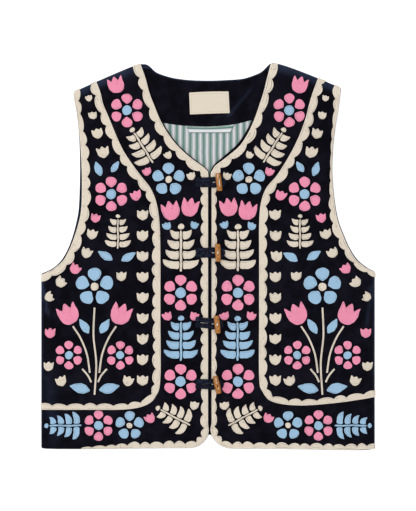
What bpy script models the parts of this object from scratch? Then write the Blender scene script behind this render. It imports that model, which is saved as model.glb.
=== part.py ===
"""Embroidered velvet waistcoat, laid flat and fastened with four toggles.

The back lies on the surface and the two fronts lie on it.  Front and back
curl towards each other at the sides and at the shoulders, where a seam of
SEAM millimetres parts them.  +X runs to the wearer's left, which is the right
of the picture, +Y runs from hem to shoulder and +Z points up, away from the
surface.  The origin is the middle of the garment's footprint.  Left and right
are as seen from above, with the hem towards the viewer.

Cut edges are held in millimetres in side coordinates: the first number is the
distance from the middle of the garment towards that side, the second the
height above the middle of its length.
"""

import math

import bmesh
import bpy
import numpy as np
from mathutils import Vector
from mathutils.geometry import delaunay_2d_cdt

MM = 0.001

# Cloth, in millimetres
WALL = 2.0
HALF_WALL = WALL / 2
SEAM = 0.3
TOUCH = 0.3
FOLD_RADIUS = 2.2
BACK_MIDDLE = HALF_WALL
FRONT_MIDDLE = BACK_MIDDLE + 2 * FOLD_RADIUS
STITCH_HEIGHT = 0.9
SIDE_REACH = 250.5
SIDE_FOLD_ENDS = (-320.0, 0.0)
CURL_REACH = FOLD_RADIUS + HALF_WALL
CURL_LENGTH = FOLD_RADIUS * math.pi / 2 - SEAM / 2
CURL_ROWS = (0.0, 0.33, 0.67)
# Shares of a fold's line between which the curl's rows run, and points in a row
SIDE_CURL_SPAN = (0.125, 0.885, 12)
SHOULDER_CURL_SPAN = (0.02, 0.97, 9)
SWELL_FADE = 25.0
EDGE_STEP = 17.0
SHOULDER_POINTS = 8
CORNER_STEPS = 6
GRID_STEP = 44.0
GRID_CLEAR = 13.0
MERGE = 0.002

LEFT, RIGHT = "left", "right"
SIGN = {LEFT: -1.0, RIGHT: 1.0}

# Shoulder fold: tip and neck end of its outermost line, and how far it bows out
SHOULDER = {
    LEFT: {"tip": (201.8, 247.6), "neck": (99.8, 289.6), "bow": 2.2},
    RIGHT: {"tip": (199.5, 253.5), "neck": (92.0, 289.5), "bow": 5.6},
}
# Where the centre front edge runs, and the radius of its lower corner
FRONT_EDGE = {
    LEFT: {"x": -2.1, "top": 116.0, "corner": 30.0},
    RIGHT: {"x": 2.7, "top": 116.0, "corner": 33.0},
}
# How far the corner's foot lies above the first point of the hem
CORNER_RISE = 0.3

# One row for each point of a cut edge: left x, left y, right x, right y
FRONT_NECK = (
    (92.2, 268.0, 86.3, 268.0),
    (86.3, 246.0, 80.8, 246.0),
    (77.3, 223.0, 72.9, 223.0),
    (69.4, 205.0, 65.6, 205.0),
    (58.8, 187.0, 56.3, 187.0),
    (45.3, 169.0, 43.9, 169.0),
    (27.5, 152.0, 25.0, 152.0),
    (9.8, 138.5, 9.3, 138.5),
    (1.4, 131.5, 4.9, 130.5),
    (-1.6, 126.5, 2.9, 127.0),
)
FRONT_HEM = (
    (80.0, -287.2, 90.0, -287.9),
    (130.0, -287.8, 150.0, -288.8),
    (190.0, -288.4, 205.0, -289.8),
    (244.0, -287.8, 244.0, -289.0),
)
FRONT_ARMHOLE = (
    (233.0, -17.6, 237.0, -15.4),
    (219.0, -5.4, 223.5, -4.4),
    (210.0, 9.8, 212.2, 12.8),
    (202.5, 28.0, 203.6, 32.0),
    (195.8, 49.0, 195.8, 52.5),
    (191.5, 70.0, 190.6, 78.0),
    (190.1, 100.0, 187.8, 103.0),
    (190.1, 130.0, 186.3, 130.0),
    (191.5, 160.0, 187.3, 160.0),
    (193.8, 190.0, 190.5, 190.0),
    (197.2, 217.0, 195.0, 217.0),
    (201.0, 238.0, 198.2, 240.0),
)
BACK_ARMHOLE = (
    (235.0, -18.2, 238.0, -15.4),
    (222.0, -7.2, 224.8, -4.4),
    (212.6, 7.6, 213.4, 12.4),
    (205.0, 26.0, 204.6, 32.0),
    (198.8, 48.0, 196.7, 52.5),
    (194.6, 70.0, 191.4, 78.0),
    (193.0, 100.0, 188.5, 103.0),
    (192.4, 130.0, 187.0, 130.0),
    (192.8, 160.0, 187.9, 160.0),
    (194.4, 190.0, 191.0, 190.0),
    (197.5, 217.0, 195.3, 217.0),
    (201.1, 238.0, 198.3, 240.0),
)
ARMHOLE_END = {LEFT: -25.5, RIGHT: -22.5}
SIDE_FOOT = {LEFT: -284.0, RIGHT: -284.0}
BACK_FOOT_RISE = 3.0

# Back neck from the left shoulder to the right one, in garment coordinates
BACK_NECK = (
    (-92.0, 289.0), (-85.5, 284.2), (-81.0, 279.8), (-73.5, 275.2), (-54.0, 269.2),
    (-30.0, 265.8), (0.0, 264.7), (30.0, 265.8), (54.0, 268.0), (75.0, 275.2),
    (82.5, 279.8), (87.2, 284.4),
)
# Hem of the back, hidden by the fronts and arched behind their round corners
BACK_HEM = (
    (238.0, -286.2), (150.0, -286.4), (80.0, -284.8), (40.0, -281.5), (16.0, -275.0), (2.4, -267.0),
    (-12.0, -275.0), (-38.0, -281.5), (-80.0, -284.6), (-150.0, -285.4), (-238.0, -285.2),
)

# Scalloped bands of stitching: pitch, share of the width that the notches take,
# and rows of a coordinate along an axis with the gap to the edge and the width there
BANDS = {
    "neck_left": {"pitch": 25.0, "notch": 0.44, "axis": 1, "rows": (
        (130.0, 1.1, 12.8), (152.0, 1.6, 12.8), (187.0, 1.9, 12.8), (230.0, 1.3, 12.8))},
    "neck_right": {"pitch": 25.0, "notch": 0.44, "axis": 1, "rows": (
        (127.0, 1.2, 12.2), (140.0, 2.4, 12.2), (152.0, 3.6, 12.2), (169.0, 4.2, 12.0),
        (187.0, 3.8, 12.0), (205.0, 2.9, 12.0), (230.0, 1.9, 12.2))},
    "front_left": {"pitch": 21.0, "notch": 0.44, "axis": 1, "rows": ((0.0, 1.8, 11.4),)},
    "front_right": {"pitch": 21.0, "notch": 0.44, "axis": 1, "rows": ((0.0, 2.6, 8.0),)},
    "hem_left": {"pitch": 17.0, "notch": 0.55, "axis": 0, "rows": (
        (30.0, 0.4, 11.0), (110.0, 0.4, 9.6), (150.0, 0.4, 5.8), (190.0, 0.4, 2.6))},
    "hem_right": {"pitch": 17.0, "notch": 0.55, "axis": 0, "rows": ((30.0, 0.4, 10.4), (120.0, 0.4, 9.2))},
    "armhole_left": {"pitch": 22.0, "notch": 0.44, "axis": 1, "rows": (
        (-30.0, 1.4, 9.5), (-18.0, 1.4, 13.0), (80.0, 1.1, 13.4), (145.0, 0.6, 13.2),
        (169.0, 0.5, 11.4), (192.0, 0.4, 9.2), (214.0, 0.4, 7.6), (245.0, 0.4, 9.8))},
    "armhole_right": {"pitch": 20.5, "notch": 0.44, "axis": 1, "rows": (
        (-24.0, 0.9, 7.0), (-5.0, 0.9, 9.6), (20.0, 0.8, 11.0), (50.0, 0.7, 12.2),
        (81.0, 0.6, 9.0), (103.0, 0.5, 4.9), (128.0, 0.4, 3.3), (150.0, 0.4, 2.9),
        (172.0, 0.4, 3.5), (197.0, 0.4, 5.5), (226.0, 0.4, 8.3), (248.0, 0.4, 11.7))},
    "inner": {"pitch": 23.0, "notch": 0.44, "axis": 1, "rows": (
        (-222.0, 0.0, 10.0), (-200.0, 0.0, 12.4), (0.0, 0.0, 12.8))},
}
# Scallops differ: by how much of a pitch their ends shift, by how much of itself
# their rise does, and the angles that set both from one scallop to the next
SCALLOP_SHIFT = 0.09
SCALLOP_RISE = 0.12
SHIFT_TURN = 2.4
RISE_TURN = 1.9
RISE_START = 0.7
SCALLOP_STEPS = (0.0, 0.2, 0.5, 0.8)
SCALLOP_POWER = 0.6
# How far along the hem the left band reaches
HEM_BAND_END = 190.0
# A path's direction at a point is taken between places so far before and after it
RUN_REACH = 2.0
# How far the bands run on past the cut edges, where the edge ends them
BAND_OVERRUN = 6.0
ARMHOLE_FOOT_OVERRUN = (8.0, -4.0)
ARMHOLE_TIP_OVERRUN = (1.5, 18.0)
# Straight side of the inner band, from the shoulder to the side seam
INNER_BAND = (
    (176.0, 284.0, 171.0, 284.0),
    (168.0, 264.8, 164.5, 267.0),
    (161.2, 246.8, 157.0, 246.8),
    (156.8, 228.8, 151.5, 228.8),
    (149.2, 210.8, 147.0, 210.8),
    (141.8, 192.8, 141.0, 192.8),
    (134.2, 174.8, 133.5, 174.8),
    (125.2, 156.8, 124.5, 156.8),
    (113.2, 138.8, 114.0, 138.8),
    (99.8, 120.8, 102.0, 120.8),
    (85.8, 102.8, 87.0, 102.8),
    (76.8, 80.0, 79.0, 80.0),
    (72.4, 48.8, 76.5, 48.8),
    (71.2, 0.0, 76.5, 0.0),
    (71.2, -90.0, 76.5, -90.0),
    (71.2, -182.0, 76.5, -180.0),
    (78.0, -209.0, 81.5, -202.0),
    (94.0, -223.0, 97.0, -217.5),
    (126.0, -229.0, 138.0, -223.0),
    (190.0, -229.5, 198.0, -218.5),
    (256.0, -229.5, 256.0, -209.5),
)

# Soft swells of the laid fronts: x, y, half-lengths along x and y, height
SWELLS = (
    (168.0, -60.0, 46.0, 90.0, 1.0),
    (120.0, 120.0, 40.0, 60.0, 0.6),
    (105.0, -215.0, 60.0, 38.0, 0.7),
    (212.0, -190.0, 34.0, 60.0, 0.6),
)

# Stitched motifs of one front: kind, x, y, turn in degrees, length in mm
MOTIFS = (
    ("tulip", 138.0, 258.5, 18.0, 27.0),
    ("rosette", 121.5, 219.5, 0.0, 51.0),
    ("sprig", 99.0, 167.5, 32.0, 64.0),
    ("bud", 60.0, 152.5, 30.0, 12.5),
    ("bloom", 59.0, 116.0, 0.0, 50.0),
    ("bud", 25.0, 121.0, 15.0, 13.5),
    ("bud", 91.5, 127.5, 20.0, 14.0),
    ("tulip", 27.0, 75.0, -14.0, 29.0),
    ("tulip", 56.0, 70.0, 14.0, 30.0),
    ("sprig", 40.5, 14.0, 0.0, 74.0),
    ("bud", 20.5, 47.5, -20.0, 13.0),
    ("bud", 61.5, 46.0, 20.0, 13.5),
    ("rosette", 41.0, -54.0, 0.0, 54.0),
    ("bud", 20.5, -89.0, -20.0, 14.5),
    ("bud", 61.0, -89.0, 20.0, 15.0),
    ("sprig", 40.5, -122.0, 0.0, 70.0),
    ("rosette", 41.0, -187.0, 0.0, 53.0),
    ("bud", 20.5, -223.0, -10.0, 14.5),
    ("frond", 52.5, -239.0, 62.0, 60.0),
    ("bud", 87.0, -242.0, 30.0, 16.0),
    ("bloom", 117.5, -253.0, 0.0, 44.0),
    ("rosette", 164.0, -253.0, 0.0, 46.0),
    ("frond", 217.5, -253.0, 90.0, 58.0),
    ("bud", 178.3, 238.0, 12.0, 11.0),
    ("bud", 172.5, 212.0, 12.0, 13.5),
    ("bud", 165.5, 185.0, 14.0, 17.0),
    ("bud", 157.5, 157.0, 10.0, 19.0),
    ("leaf", 164.5, 132.0, 20.0, 25.0),
    ("leaf", 139.5, 135.0, -35.0, 22.0),
    ("rosette", 145.0, 94.0, 0.0, 52.0),
    ("bud", 108.0, 92.0, 20.0, 17.0),
    ("sprig", 135.0, 38.0, 0.0, 54.0),
    ("bud", 168.5, 58.0, -10.0, 15.5),
    ("bud", 174.0, 34.0, -15.0, 17.0),
    ("bud", 182.0, 6.0, -25.0, 17.0),
    ("bud", 199.0, -18.0, -35.0, 17.0),
    ("bud", 221.0, -38.0, -50.0, 17.0),
    ("bud", 238.0, -60.0, -65.0, 15.0),
    ("leaf", 119.0, 0.0, -60.0, 27.0),
    ("leaf", 154.0, 2.0, 60.0, 27.0),
)
# The column of buds along the inner band: x, first y, step, count, length
BUD_COLUMN = (98.0, 63.0, -31.0, 9, 18.0)
# The flowering plant of the lower field
PLANT_MOTIFS = (
    ("bloom", 170.0, -45.0, 0.0, 58.0),
    ("tulip", 130.5, -85.0, -24.0, 34.0),
    ("tulip", 209.5, -85.0, 24.0, 34.0),
    ("leaf", 154.5, -104.0, -32.0, 28.0),
    ("leaf", 185.5, -104.0, 32.0, 28.0),
    ("rosette", 131.5, -147.5, 0.0, 43.0),
    ("rosette", 208.5, -147.5, 0.0, 43.0),
    ("leaf", 148.0, -197.0, -78.0, 34.0),
    ("leaf", 192.0, -197.0, 78.0, 34.0),
    ("bud", 120.0, -186.0, -20.0, 17.0),
    ("bud", 220.0, -186.0, 20.0, 17.0),
    ("bud", 236.5, -114.0, 0.0, 17.0),
    ("bud", 239.0, -164.0, 0.0, 16.0),
    ("bud", 130.0, -29.0, 0.0, 16.0),
)
PLANT_STEMS = (
    ((170.0, -207.0), (167.5, -160.0), (171.5, -118.0), (170.0, -76.0)),
    ((163.0, -174.0), (158.5, -146.0), (149.0, -122.0), (137.5, -104.0)),
    ((177.0, -174.0), (181.5, -146.0), (191.0, -122.0), (202.5, -104.0)),
    ((165.0, -188.0), (160.0, -178.0), (151.5, -168.0)),
    ((175.0, -188.0), (180.0, -178.0), (188.5, -168.0)),
)
STEM_WIDTH = 2.9
PETAL_GAP = 1.2
DISC_POINTS = 8
LEAFLET_PAIRS = 4
SPRIG_SPREAD = {"sprig": 0.37, "frond": 0.36}

# Neck facing, lining, label and hanger strip, in garment coordinates
FACING_WALL = 1.2
FACING_INSET = 0.45
FACING_ENDS = ((-97.5, 285.2), (90.6, 284.2))
FACING_UNDER_FRONT = 12.0
FACING_FOOT = (
    (-79.0, 203.5), (-66.0, 201.2), (-36.0, 197.2), (0.0, 195.8), (36.0, 198.6),
    (66.0, 205.7), (79.0, 209.5),
)
LINING_WALL = 0.7
LINING_TOP = 76.0
LINING_SIDE = (
    (74.0, 190.0), (58.0, 168.0), (40.0, 150.0), (22.0, 134.0), (10.0, 118.0), (0.0, 112.0),
)
LABEL_SIZE = (60.0, 34.5, 0.6)
LABEL_PLACE = (1.5, 231.0)
LABEL_CORNER = 1.2
HANGER_WALL = 1.3
HANGER_TOP = (-33.0, 40.5)
HANGER_FOOT = (-27.5, 32.5)
HANGER_FOOT_HEIGHT = 186.0

# Closures from top to bottom: height, toggle x and tilt, and where its loop ends
CLOSURES = (
    {"y": 111.6, "toggle_x": 16.2, "tilt": 6.5, "loop_end": 27.4, "drop": 0.0, "spread": 0.0},
    {"y": 6.0, "toggle_x": 14.8, "tilt": 2.0, "loop_end": 26.0, "drop": 0.0, "spread": 0.2},
    {"y": -97.6, "toggle_x": 13.8, "tilt": 6.0, "loop_end": 23.6, "drop": 4.6, "spread": 1.4},
    {"y": -190.4, "toggle_x": 13.6, "tilt": 13.0, "loop_end": 24.0, "drop": 1.0, "spread": 0.4},
)
LOOP_START = -19.0
CORD_WIDTH = 6.9
CORD_THICK = 2.2
CORD_SPACING = 7.4
CORD_SIDES = 8
CORD_STEP = 9.0
BIGHT_STEPS = 6
TOGGLE_LENGTH = 26.5
TOGGLE_WIDTH = 8.6
TOGGLE_THICK = 7.6
TOGGLE_SIDES = 10
TOGGLE_PROFILE = ((0.0, 0.74), (0.04, 0.9), (0.2, 0.97), (0.5, 1.0), (0.8, 0.97), (0.96, 0.9), (1.0, 0.74))
THREAD_HOLE = 1.7
THREAD_SPACING = 4.6

# Colours: red, green, blue, roughness
FINISHES = {
    "velvet": (0.006, 0.007, 0.014, 0.85),
    "lining": (0.45, 0.52, 0.5, 0.8),
    "label": (0.78, 0.68, 0.55, 0.85),
    "cord": (0.008, 0.011, 0.024, 0.9),
    "wood": (0.42, 0.2, 0.06, 0.5),
}


def side_value(row, side):
    """The point of a table row that belongs to a side."""
    return (row[0], row[1]) if side == LEFT else (row[2], row[3])


def side_points(table, side):
    """All points of an edge table for a side."""
    return [side_value(row, side) for row in table]


def smooth(points, step):
    """Points about a step apart on a Catmull-Rom curve through the given ones."""
    ring = [np.array(point, float) for point in points]
    ring = [2 * ring[0] - ring[1]] + ring + [2 * ring[-1] - ring[-2]]
    result = []
    for before, start, end, after in zip(ring, ring[1:], ring[2:], ring[3:]):
        count = max(1, round(float(np.linalg.norm(end - start)) / step))
        for k in range(count):
            t = k / count
            result.append(0.5 * (2 * start + (end - before) * t
                                 + (2 * before - 5 * start + 4 * end - after) * t ** 2
                                 + (3 * start - before - 3 * end + after) * t ** 3))
    result.append(ring[-2])
    return [tuple(point) for point in result]


def arc(centre, radius, start, end, steps):
    """Points of a round corner between two angles in degrees."""
    angles = np.radians(np.linspace(start, end, steps + 1))
    return [(centre[0] + radius * math.cos(a), centre[1] + radius * math.sin(a)) for a in angles]


class Fold:
    """A line past which the cloth curls round towards the other panel."""

    def __init__(self, start, end, bow, sign):
        self.start = np.array(start)
        chord = np.array(end) - self.start
        self.length = float(np.linalg.norm(chord))
        self.along = chord / self.length
        self.out = np.array((self.along[1], -self.along[0]))
        self.bow = bow
        self.sign = sign

    def bulge(self, share):
        """How far the line bows out at a share of its length."""
        share = min(max(share, 0.0), 1.0)
        return self.bow * (1 - (1 - share) ** 2) * (1 - share ** 14)

    def past(self, x, y):
        """Distance of a point past the line where the curl begins."""
        offset = np.array((self.sign * x, y)) - self.start
        share = float(offset @ self.along) / self.length
        return float(offset @ self.out) - self.bulge(share) + CURL_REACH

    def line(self, past, shares):
        """Points at a distance past the start of the curl, in garment coordinates."""
        result = []
        for share in shares:
            reach = self.bulge(share) - CURL_REACH + past
            point = self.start + self.along * share * self.length + self.out * reach
            result.append((self.sign * float(point[0]), float(point[1])))
        return result

    def direction(self):
        """The outward direction in garment coordinates."""
        return np.array((self.sign * self.out[0], self.out[1]))


def side_fold(side):
    """The fold along the side, from below the hem to above the armhole's end."""
    return Fold((SIDE_REACH, SIDE_FOLD_ENDS[0]), (SIDE_REACH, SIDE_FOLD_ENDS[1]), 0.0, SIGN[side])


def shoulder_fold(side):
    """The fold along the shoulder, from its tip to the neck."""
    place = SHOULDER[side]
    return Fold(place["tip"], place["neck"], place["bow"], SIGN[side])


FOLDS = {side: (side_fold(side), shoulder_fold(side)) for side in (LEFT, RIGHT)}


def swell(x, y, folds):
    """Height of the soft swells at a point of the fronts, none near a fold."""
    height = 0.0
    for middle_x, middle_y, reach_x, reach_y, top in SWELLS:
        squared = ((abs(x) - middle_x) / reach_x) ** 2 + ((y - middle_y) / reach_y) ** 2
        height += top * math.exp(-squared)
    for fold in folds:
        share = min(max(-fold.past(x, y) / SWELL_FADE, 0.0), 1.0)
        height *= share * share * (3 - 2 * share)
    return height


def place_front(x, y, out, folds):
    """Where a point of a flat front lies, at a distance outwards from its middle."""
    for fold in folds:
        past = fold.past(x, y)
        if past > 0:
            angle = past / FOLD_RADIUS
            reach = (FOLD_RADIUS + out) * math.sin(angle) - past
            spot = np.array((x, y)) + fold.direction() * reach
            height = FRONT_MIDDLE - FOLD_RADIUS + (FOLD_RADIUS + out) * math.cos(angle)
            return (float(spot[0]), float(spot[1]), height)
    return (x, y, FRONT_MIDDLE + out + swell(x, y, folds))


def place_back(x, y, out):
    """Where a point of the flat back lies; outwards is down."""
    for fold in FOLDS[LEFT] + FOLDS[RIGHT]:
        past = fold.past(x, y)
        if past > 0:
            angle = past / FOLD_RADIUS
            reach = (FOLD_RADIUS + out) * math.sin(angle) - past
            spot = np.array((x, y)) + fold.direction() * reach
            height = BACK_MIDDLE + FOLD_RADIUS - (FOLD_RADIUS + out) * math.cos(angle)
            return (float(spot[0]), float(spot[1]), height)
    return (x, y, BACK_MIDDLE - out)


def turned_left(ring):
    """The same closed outline running anticlockwise."""
    area = sum(a[0] * b[1] - b[0] * a[1] for a, b in zip(ring, ring[1:] + ring[:1]))
    return ring if area > 0 else ring[::-1]


def inside(point, ring):
    """Whether a point lies in a closed outline."""
    x, y = point
    crossings = 0
    for (x0, y0), (x1, y1) in zip(ring, ring[1:] + ring[:1]):
        if (y0 > y) != (y1 > y) and x < x0 + (y - y0) * (x1 - x0) / (y1 - y0):
            crossings += 1
    return crossings % 2 == 1


def triangulate(outline, rows, shapes, spots):
    """Triangles of a flat panel, cut along curl rows and motif outlines.

    Returns its points, the triangles inside the outline, for each of them
    whether a motif covers it, and where each given outline point went.
    """
    points = list(outline)
    faces = [list(range(len(outline)))]
    for shape in shapes:
        ring = turned_left(shape)
        faces.append(list(range(len(points), len(points) + len(ring))))
        points.extend(ring)
    edges = []
    for row in rows:
        edges.extend((len(points) + k, len(points) + k + 1) for k in range(len(row) - 1))
        points.extend(row)
    points.extend(spots)
    result = delaunay_2d_cdt([Vector(point) for point in points], edges, faces, 0, MERGE)
    places, _, triangles, sources, _, owners = result
    kept = [(tuple(corners), len(owner) > 1)
            for corners, owner in zip(triangles, owners) if 0 in owner]
    home = {}
    for k, source in enumerate(sources):
        for original in source:
            home[original] = k
    spots_out = [(float(place[0]), float(place[1])) for place in places]
    return spots_out, [item[0] for item in kept], [item[1] for item in kept], home


def rim_of(triangles):
    """The closed loop of points round a set of triangles."""
    directed = {(a, b) for t in triangles for a, b in zip(t, t[1:] + t[:1])}
    following = {a: b for a, b in directed if (b, a) not in directed}
    start = min(following)
    loop = [start]
    while following[loop[-1]] != start:
        loop.append(following[loop[-1]])
    return loop


def grid_spots(outline, taken, step):
    """Points of a coarse grid inside an outline, clear of the taken points."""
    xs = [point[0] for point in outline]
    ys = [point[1] for point in outline]
    taken = np.array(taken)
    result = []
    for x in np.arange(min(xs) + step / 2, max(xs), step):
        for y in np.arange(min(ys) + step / 2, max(ys), step):
            near = float(np.min(np.hypot(taken[:, 0] - x, taken[:, 1] - y)))
            if near > GRID_CLEAR and inside((x, y), outline):
                result.append((float(x), float(y)))
    return result


def wall_mesh(outline, rows, shapes, lift, place):
    """A cloth wall whose outer face is raised by a lift inside the shapes."""
    outline = turned_left(outline)
    row_points = [point for row in rows for point in row]
    shape_points = [point for shape in shapes for point in shape]
    spots = grid_spots(outline, outline + row_points + shape_points, GRID_STEP)
    points, triangles, covered, _ = triangulate(outline, rows, shapes, spots)
    loop = rim_of(triangles)
    rim = [points[k] for k in loop]
    plain_spots = grid_spots(outline, outline + row_points, GRID_STEP)
    under, under_triangles, _, home = triangulate(rim, rows, (), plain_spots)

    coordinates = []
    numbers = {}

    def vertex(key, x, y, out):
        if key not in numbers:
            numbers[key] = len(coordinates)
            coordinates.append(place(x, y, out))
        return numbers[key]

    def top(k, level):
        return vertex(("top", k, level), *points[k], HALF_WALL + level * lift)

    def bottom(k):
        return vertex(("bottom", k), *under[k], -HALF_WALL)

    faces = []
    raised = set()
    for corners, is_raised in zip(triangles, covered):
        faces.append([top(k, int(is_raised)) for k in corners])
        if is_raised:
            raised.update(zip(corners, corners[1:] + corners[:1]))
    for a, b in sorted(raised):
        if (b, a) not in raised:
            faces.append([top(a, 0), top(b, 0), top(b, 1), top(a, 1)])
    for corners in under_triangles:
        faces.append([bottom(k) for k in reversed(corners)])
    for k, (a, b) in enumerate(zip(loop, loop[1:] + loop[:1])):
        low_a, low_b = home[k], home[(k + 1) % len(loop)]
        faces.append([bottom(low_a), bottom(low_b), top(b, 0), top(a, 0)])
    return coordinates, faces


def add_object(name, finish, coordinates, faces, flat=True):
    """A named object from points in millimetres and faces, turned outwards."""
    mesh = bpy.data.meshes.new(name)
    mesh.from_pydata([Vector(point) * MM for point in coordinates], [], faces)
    shape = bmesh.new()
    shape.from_mesh(mesh)
    bmesh.ops.recalc_face_normals(shape, faces=shape.faces)
    bmesh.ops.triangulate(shape, faces=shape.faces)
    shape.to_mesh(mesh)
    shape.free()
    mesh.materials.append(material(finish))
    item = bpy.data.objects.new(name, mesh)
    bpy.context.scene.collection.objects.link(item)
    if not flat:
        mesh.shade_smooth()
        mesh.set_sharp_from_angle(angle=math.radians(35))
    return item


def material(name):
    """The finish of that name, made once."""
    found = bpy.data.materials.get(name)
    if found:
        return found
    made = bpy.data.materials.new(name)
    made.use_nodes = True
    red, green, blue, roughness = FINISHES[name]
    shader = made.node_tree.nodes["Principled BSDF"]
    shader.inputs["Base Color"].default_value = (red, green, blue, 1.0)
    shader.inputs["Roughness"].default_value = roughness
    shader.inputs["Metallic"].default_value = 0.0
    made.diffuse_color = (red, green, blue, 1.0)
    return made


def mirrored(points, side):
    """Side coordinates turned into garment coordinates."""
    return [(SIGN[side] * x, y) for x, y in points]


def neck_path(side):
    """The front's cut edge from the shoulder seam to the start of its centre edge."""
    edge = FRONT_EDGE[side]
    points = [SHOULDER[side]["neck"]] + side_points(FRONT_NECK, side)
    return smooth(points + [(edge["x"], edge["top"])], EDGE_STEP)


def hem_corner(side):
    """The round corner between the centre edge and the hem."""
    edge = FRONT_EDGE[side]
    hem = side_value(FRONT_HEM[0], side)[1] + CORNER_RISE
    centre = (edge["x"] + edge["corner"], hem + edge["corner"])
    return arc(centre, edge["corner"], 180.0, 270.0, CORNER_STEPS)


def front_outline(side):
    """The whole cut edge of a front, in side coordinates."""
    fold = FOLDS[side][1]
    shares = np.linspace(0.0, 1.0, SHOULDER_POINTS)
    shoulder = [(SIGN[side] * x, y) for x, y in fold.line(CURL_LENGTH, shares)]
    corner = hem_corner(side)
    hem = smooth([corner[-1]] + side_points(FRONT_HEM, side), 2 * EDGE_STEP)
    side_x = SIDE_REACH - CURL_REACH + CURL_LENGTH
    seam_top = (side_x, ARMHOLE_END[side])
    seam = smooth([(side_x, SIDE_FOOT[side]), seam_top], 3 * EDGE_STEP)
    armhole = smooth([seam_top] + side_points(FRONT_ARMHOLE, side) + [shoulder[0]], EDGE_STEP)
    return shoulder + neck_path(side)[1:] + corner + hem[1:] + seam + armhole[1:-1]


def offset(path, shares_and_gaps):
    """Points at given shares of a path's length, moved to the right of its run."""
    knots = np.array(path)
    lengths = np.concatenate(([0.0], np.cumsum(np.hypot(*np.diff(knots, axis=0).T))))
    result = []
    for share, gap in shares_and_gaps:
        spot = share * lengths[-1]
        before = max(spot - RUN_REACH, 0.0)
        after = min(spot + RUN_REACH, lengths[-1])
        ends = [np.array((np.interp(at, lengths, knots[:, 0]), np.interp(at, lengths, knots[:, 1])))
                for at in (before, spot, after)]
        run = ends[2] - ends[0]
        run = run / np.linalg.norm(run)
        point = ends[1] + gap * np.array((run[1], -run[0]))
        result.append((float(point[0]), float(point[1])))
    return result


def on_path(path, shares):
    """Shares of a path's length, each with its point."""
    return zip(shares, offset(path, [(share, 0.0) for share in shares]))


def path_length(path):
    """Length of a run of points."""
    return float(np.sum(np.hypot(*np.diff(np.array(path), axis=0).T)))


def scallop_place(phase, count):
    """Where a phase of uneven scallops falls in a band of so many."""
    return phase + SCALLOP_SHIFT * math.sin(SHIFT_TURN * phase) * min(1.0, phase, count - phase)


def band_sides(path, name, hand):
    """Both sides of a scalloped band on one hand of a path: plain, then scallops."""
    band = BANDS[name]
    notch, axis = band["notch"], band["axis"]
    marks, gaps, widths = zip(*band["rows"])
    count = max(1, round(path_length(path) / band["pitch"]))
    plain = []
    for share, point in on_path(path, [k / count for k in range(count + 1)]):
        plain.append((share, hand * float(np.interp(point[axis], marks, gaps))))
    steps = [(k, step) for k in range(count) for step in SCALLOP_STEPS] + [(count, 0.0)]
    shares = [scallop_place(k + step, count) / count for k, step in steps]
    waves = []
    for (k, step), (share, point) in zip(steps, on_path(path, shares)):
        gap = float(np.interp(point[axis], marks, gaps))
        width = float(np.interp(point[axis], marks, widths))
        rise = math.sin(math.pi * step) ** SCALLOP_POWER
        rise *= 1 + SCALLOP_RISE * math.sin(RISE_TURN * k + RISE_START)
        waves.append((share, hand * (gap + width * (1 - notch + notch * rise))))
    return offset(path, plain), offset(path, waves)


def band_outlines(side):
    """Outlines of the edging, armhole and inner bands, in side coordinates."""
    edge = FRONT_EDGE[side]
    neck = neck_path(side)
    first = np.array(neck[0])
    ahead = first - np.array(neck[1])
    start = tuple(first + ahead / np.linalg.norm(ahead) * BAND_OVERRUN)
    corner = hem_corner(side)
    hem = smooth([corner[-1]] + side_points(FRONT_HEM, side), EDGE_STEP)
    if side == LEFT:
        hem = [point for point in hem if point[0] < HEM_BAND_END]
    else:
        hem.append((SIDE_REACH + BAND_OVERRUN, hem[-1][1]))
    parts = (
        ([start] + neck, "neck_" + side),
        ([neck[-1], (edge["x"], corner[0][1])], "front_" + side),
        (corner + hem[1:], "hem_" + side),
    )
    plain, waves = [], []
    for path, name in parts:
        last = name == "hem_" + side
        sides = band_sides(path, name, -1)
        plain.extend(sides[0] if last else sides[0][:-1])
        waves.extend(sides[1] if last else sides[1][:-1])
    edging = plain + waves[::-1]

    armhole = smooth(side_points(FRONT_ARMHOLE, side), EDGE_STEP)
    foot = (SIDE_REACH + ARMHOLE_FOOT_OVERRUN[0], ARMHOLE_END[side] + ARMHOLE_FOOT_OVERRUN[1])
    tip = np.array(armhole[-1]) + np.array(ARMHOLE_TIP_OVERRUN)
    plain, waves = band_sides([tuple(tip)] + armhole[::-1] + [foot], "armhole_" + side, 1)
    around = plain + waves[::-1]

    plain, waves = band_sides(smooth(side_points(INNER_BAND, side), EDGE_STEP), "inner", -1)
    return [edging, around, plain + waves[::-1]]


def lobes(profile, length):
    """A closed outline about +Y from half-widths at shares of a length."""
    right = [(half, share * length) for share, half in profile]
    return right + [(-x, y) for x, y in reversed(right) if x > 0]


def petal(length, width):
    """A round-ended petal growing along +Y from its point."""
    half = width / 2
    return lobes(((0.0, 0.0), (0.3, half * 0.74), (0.64, half), (0.9, half * 0.66), (1.0, 0.0)), length)


def leaf(length):
    """A pointed leaf growing along +Y from its point."""
    half = length * 0.23
    return lobes(((0.0, 0.0), (0.3, half * 0.92), (0.6, half * 0.9), (1.0, 0.0)), length)


def bud(length):
    """A small three-pointed bud growing along +Y."""
    half = length / 2
    return lobes(((0.0, 0.0), (0.25, half * 0.8), (0.95, half * 0.98), (0.72, half * 0.45), (1.0, 0.0)), length)


def tulip(length):
    """A tulip cup with three points growing along +Y."""
    half = length * 0.44
    return lobes(((0.0, 0.0), (0.08, half * 0.6), (0.38, half), (0.95, half * 0.96),
                  (0.66, half * 0.42), (1.0, 0.0)), length)


def disc(radius, points):
    """A regular round outline."""
    return [(radius * math.cos(2 * math.pi * k / points), radius * math.sin(2 * math.pi * k / points))
            for k in range(points)]


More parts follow.
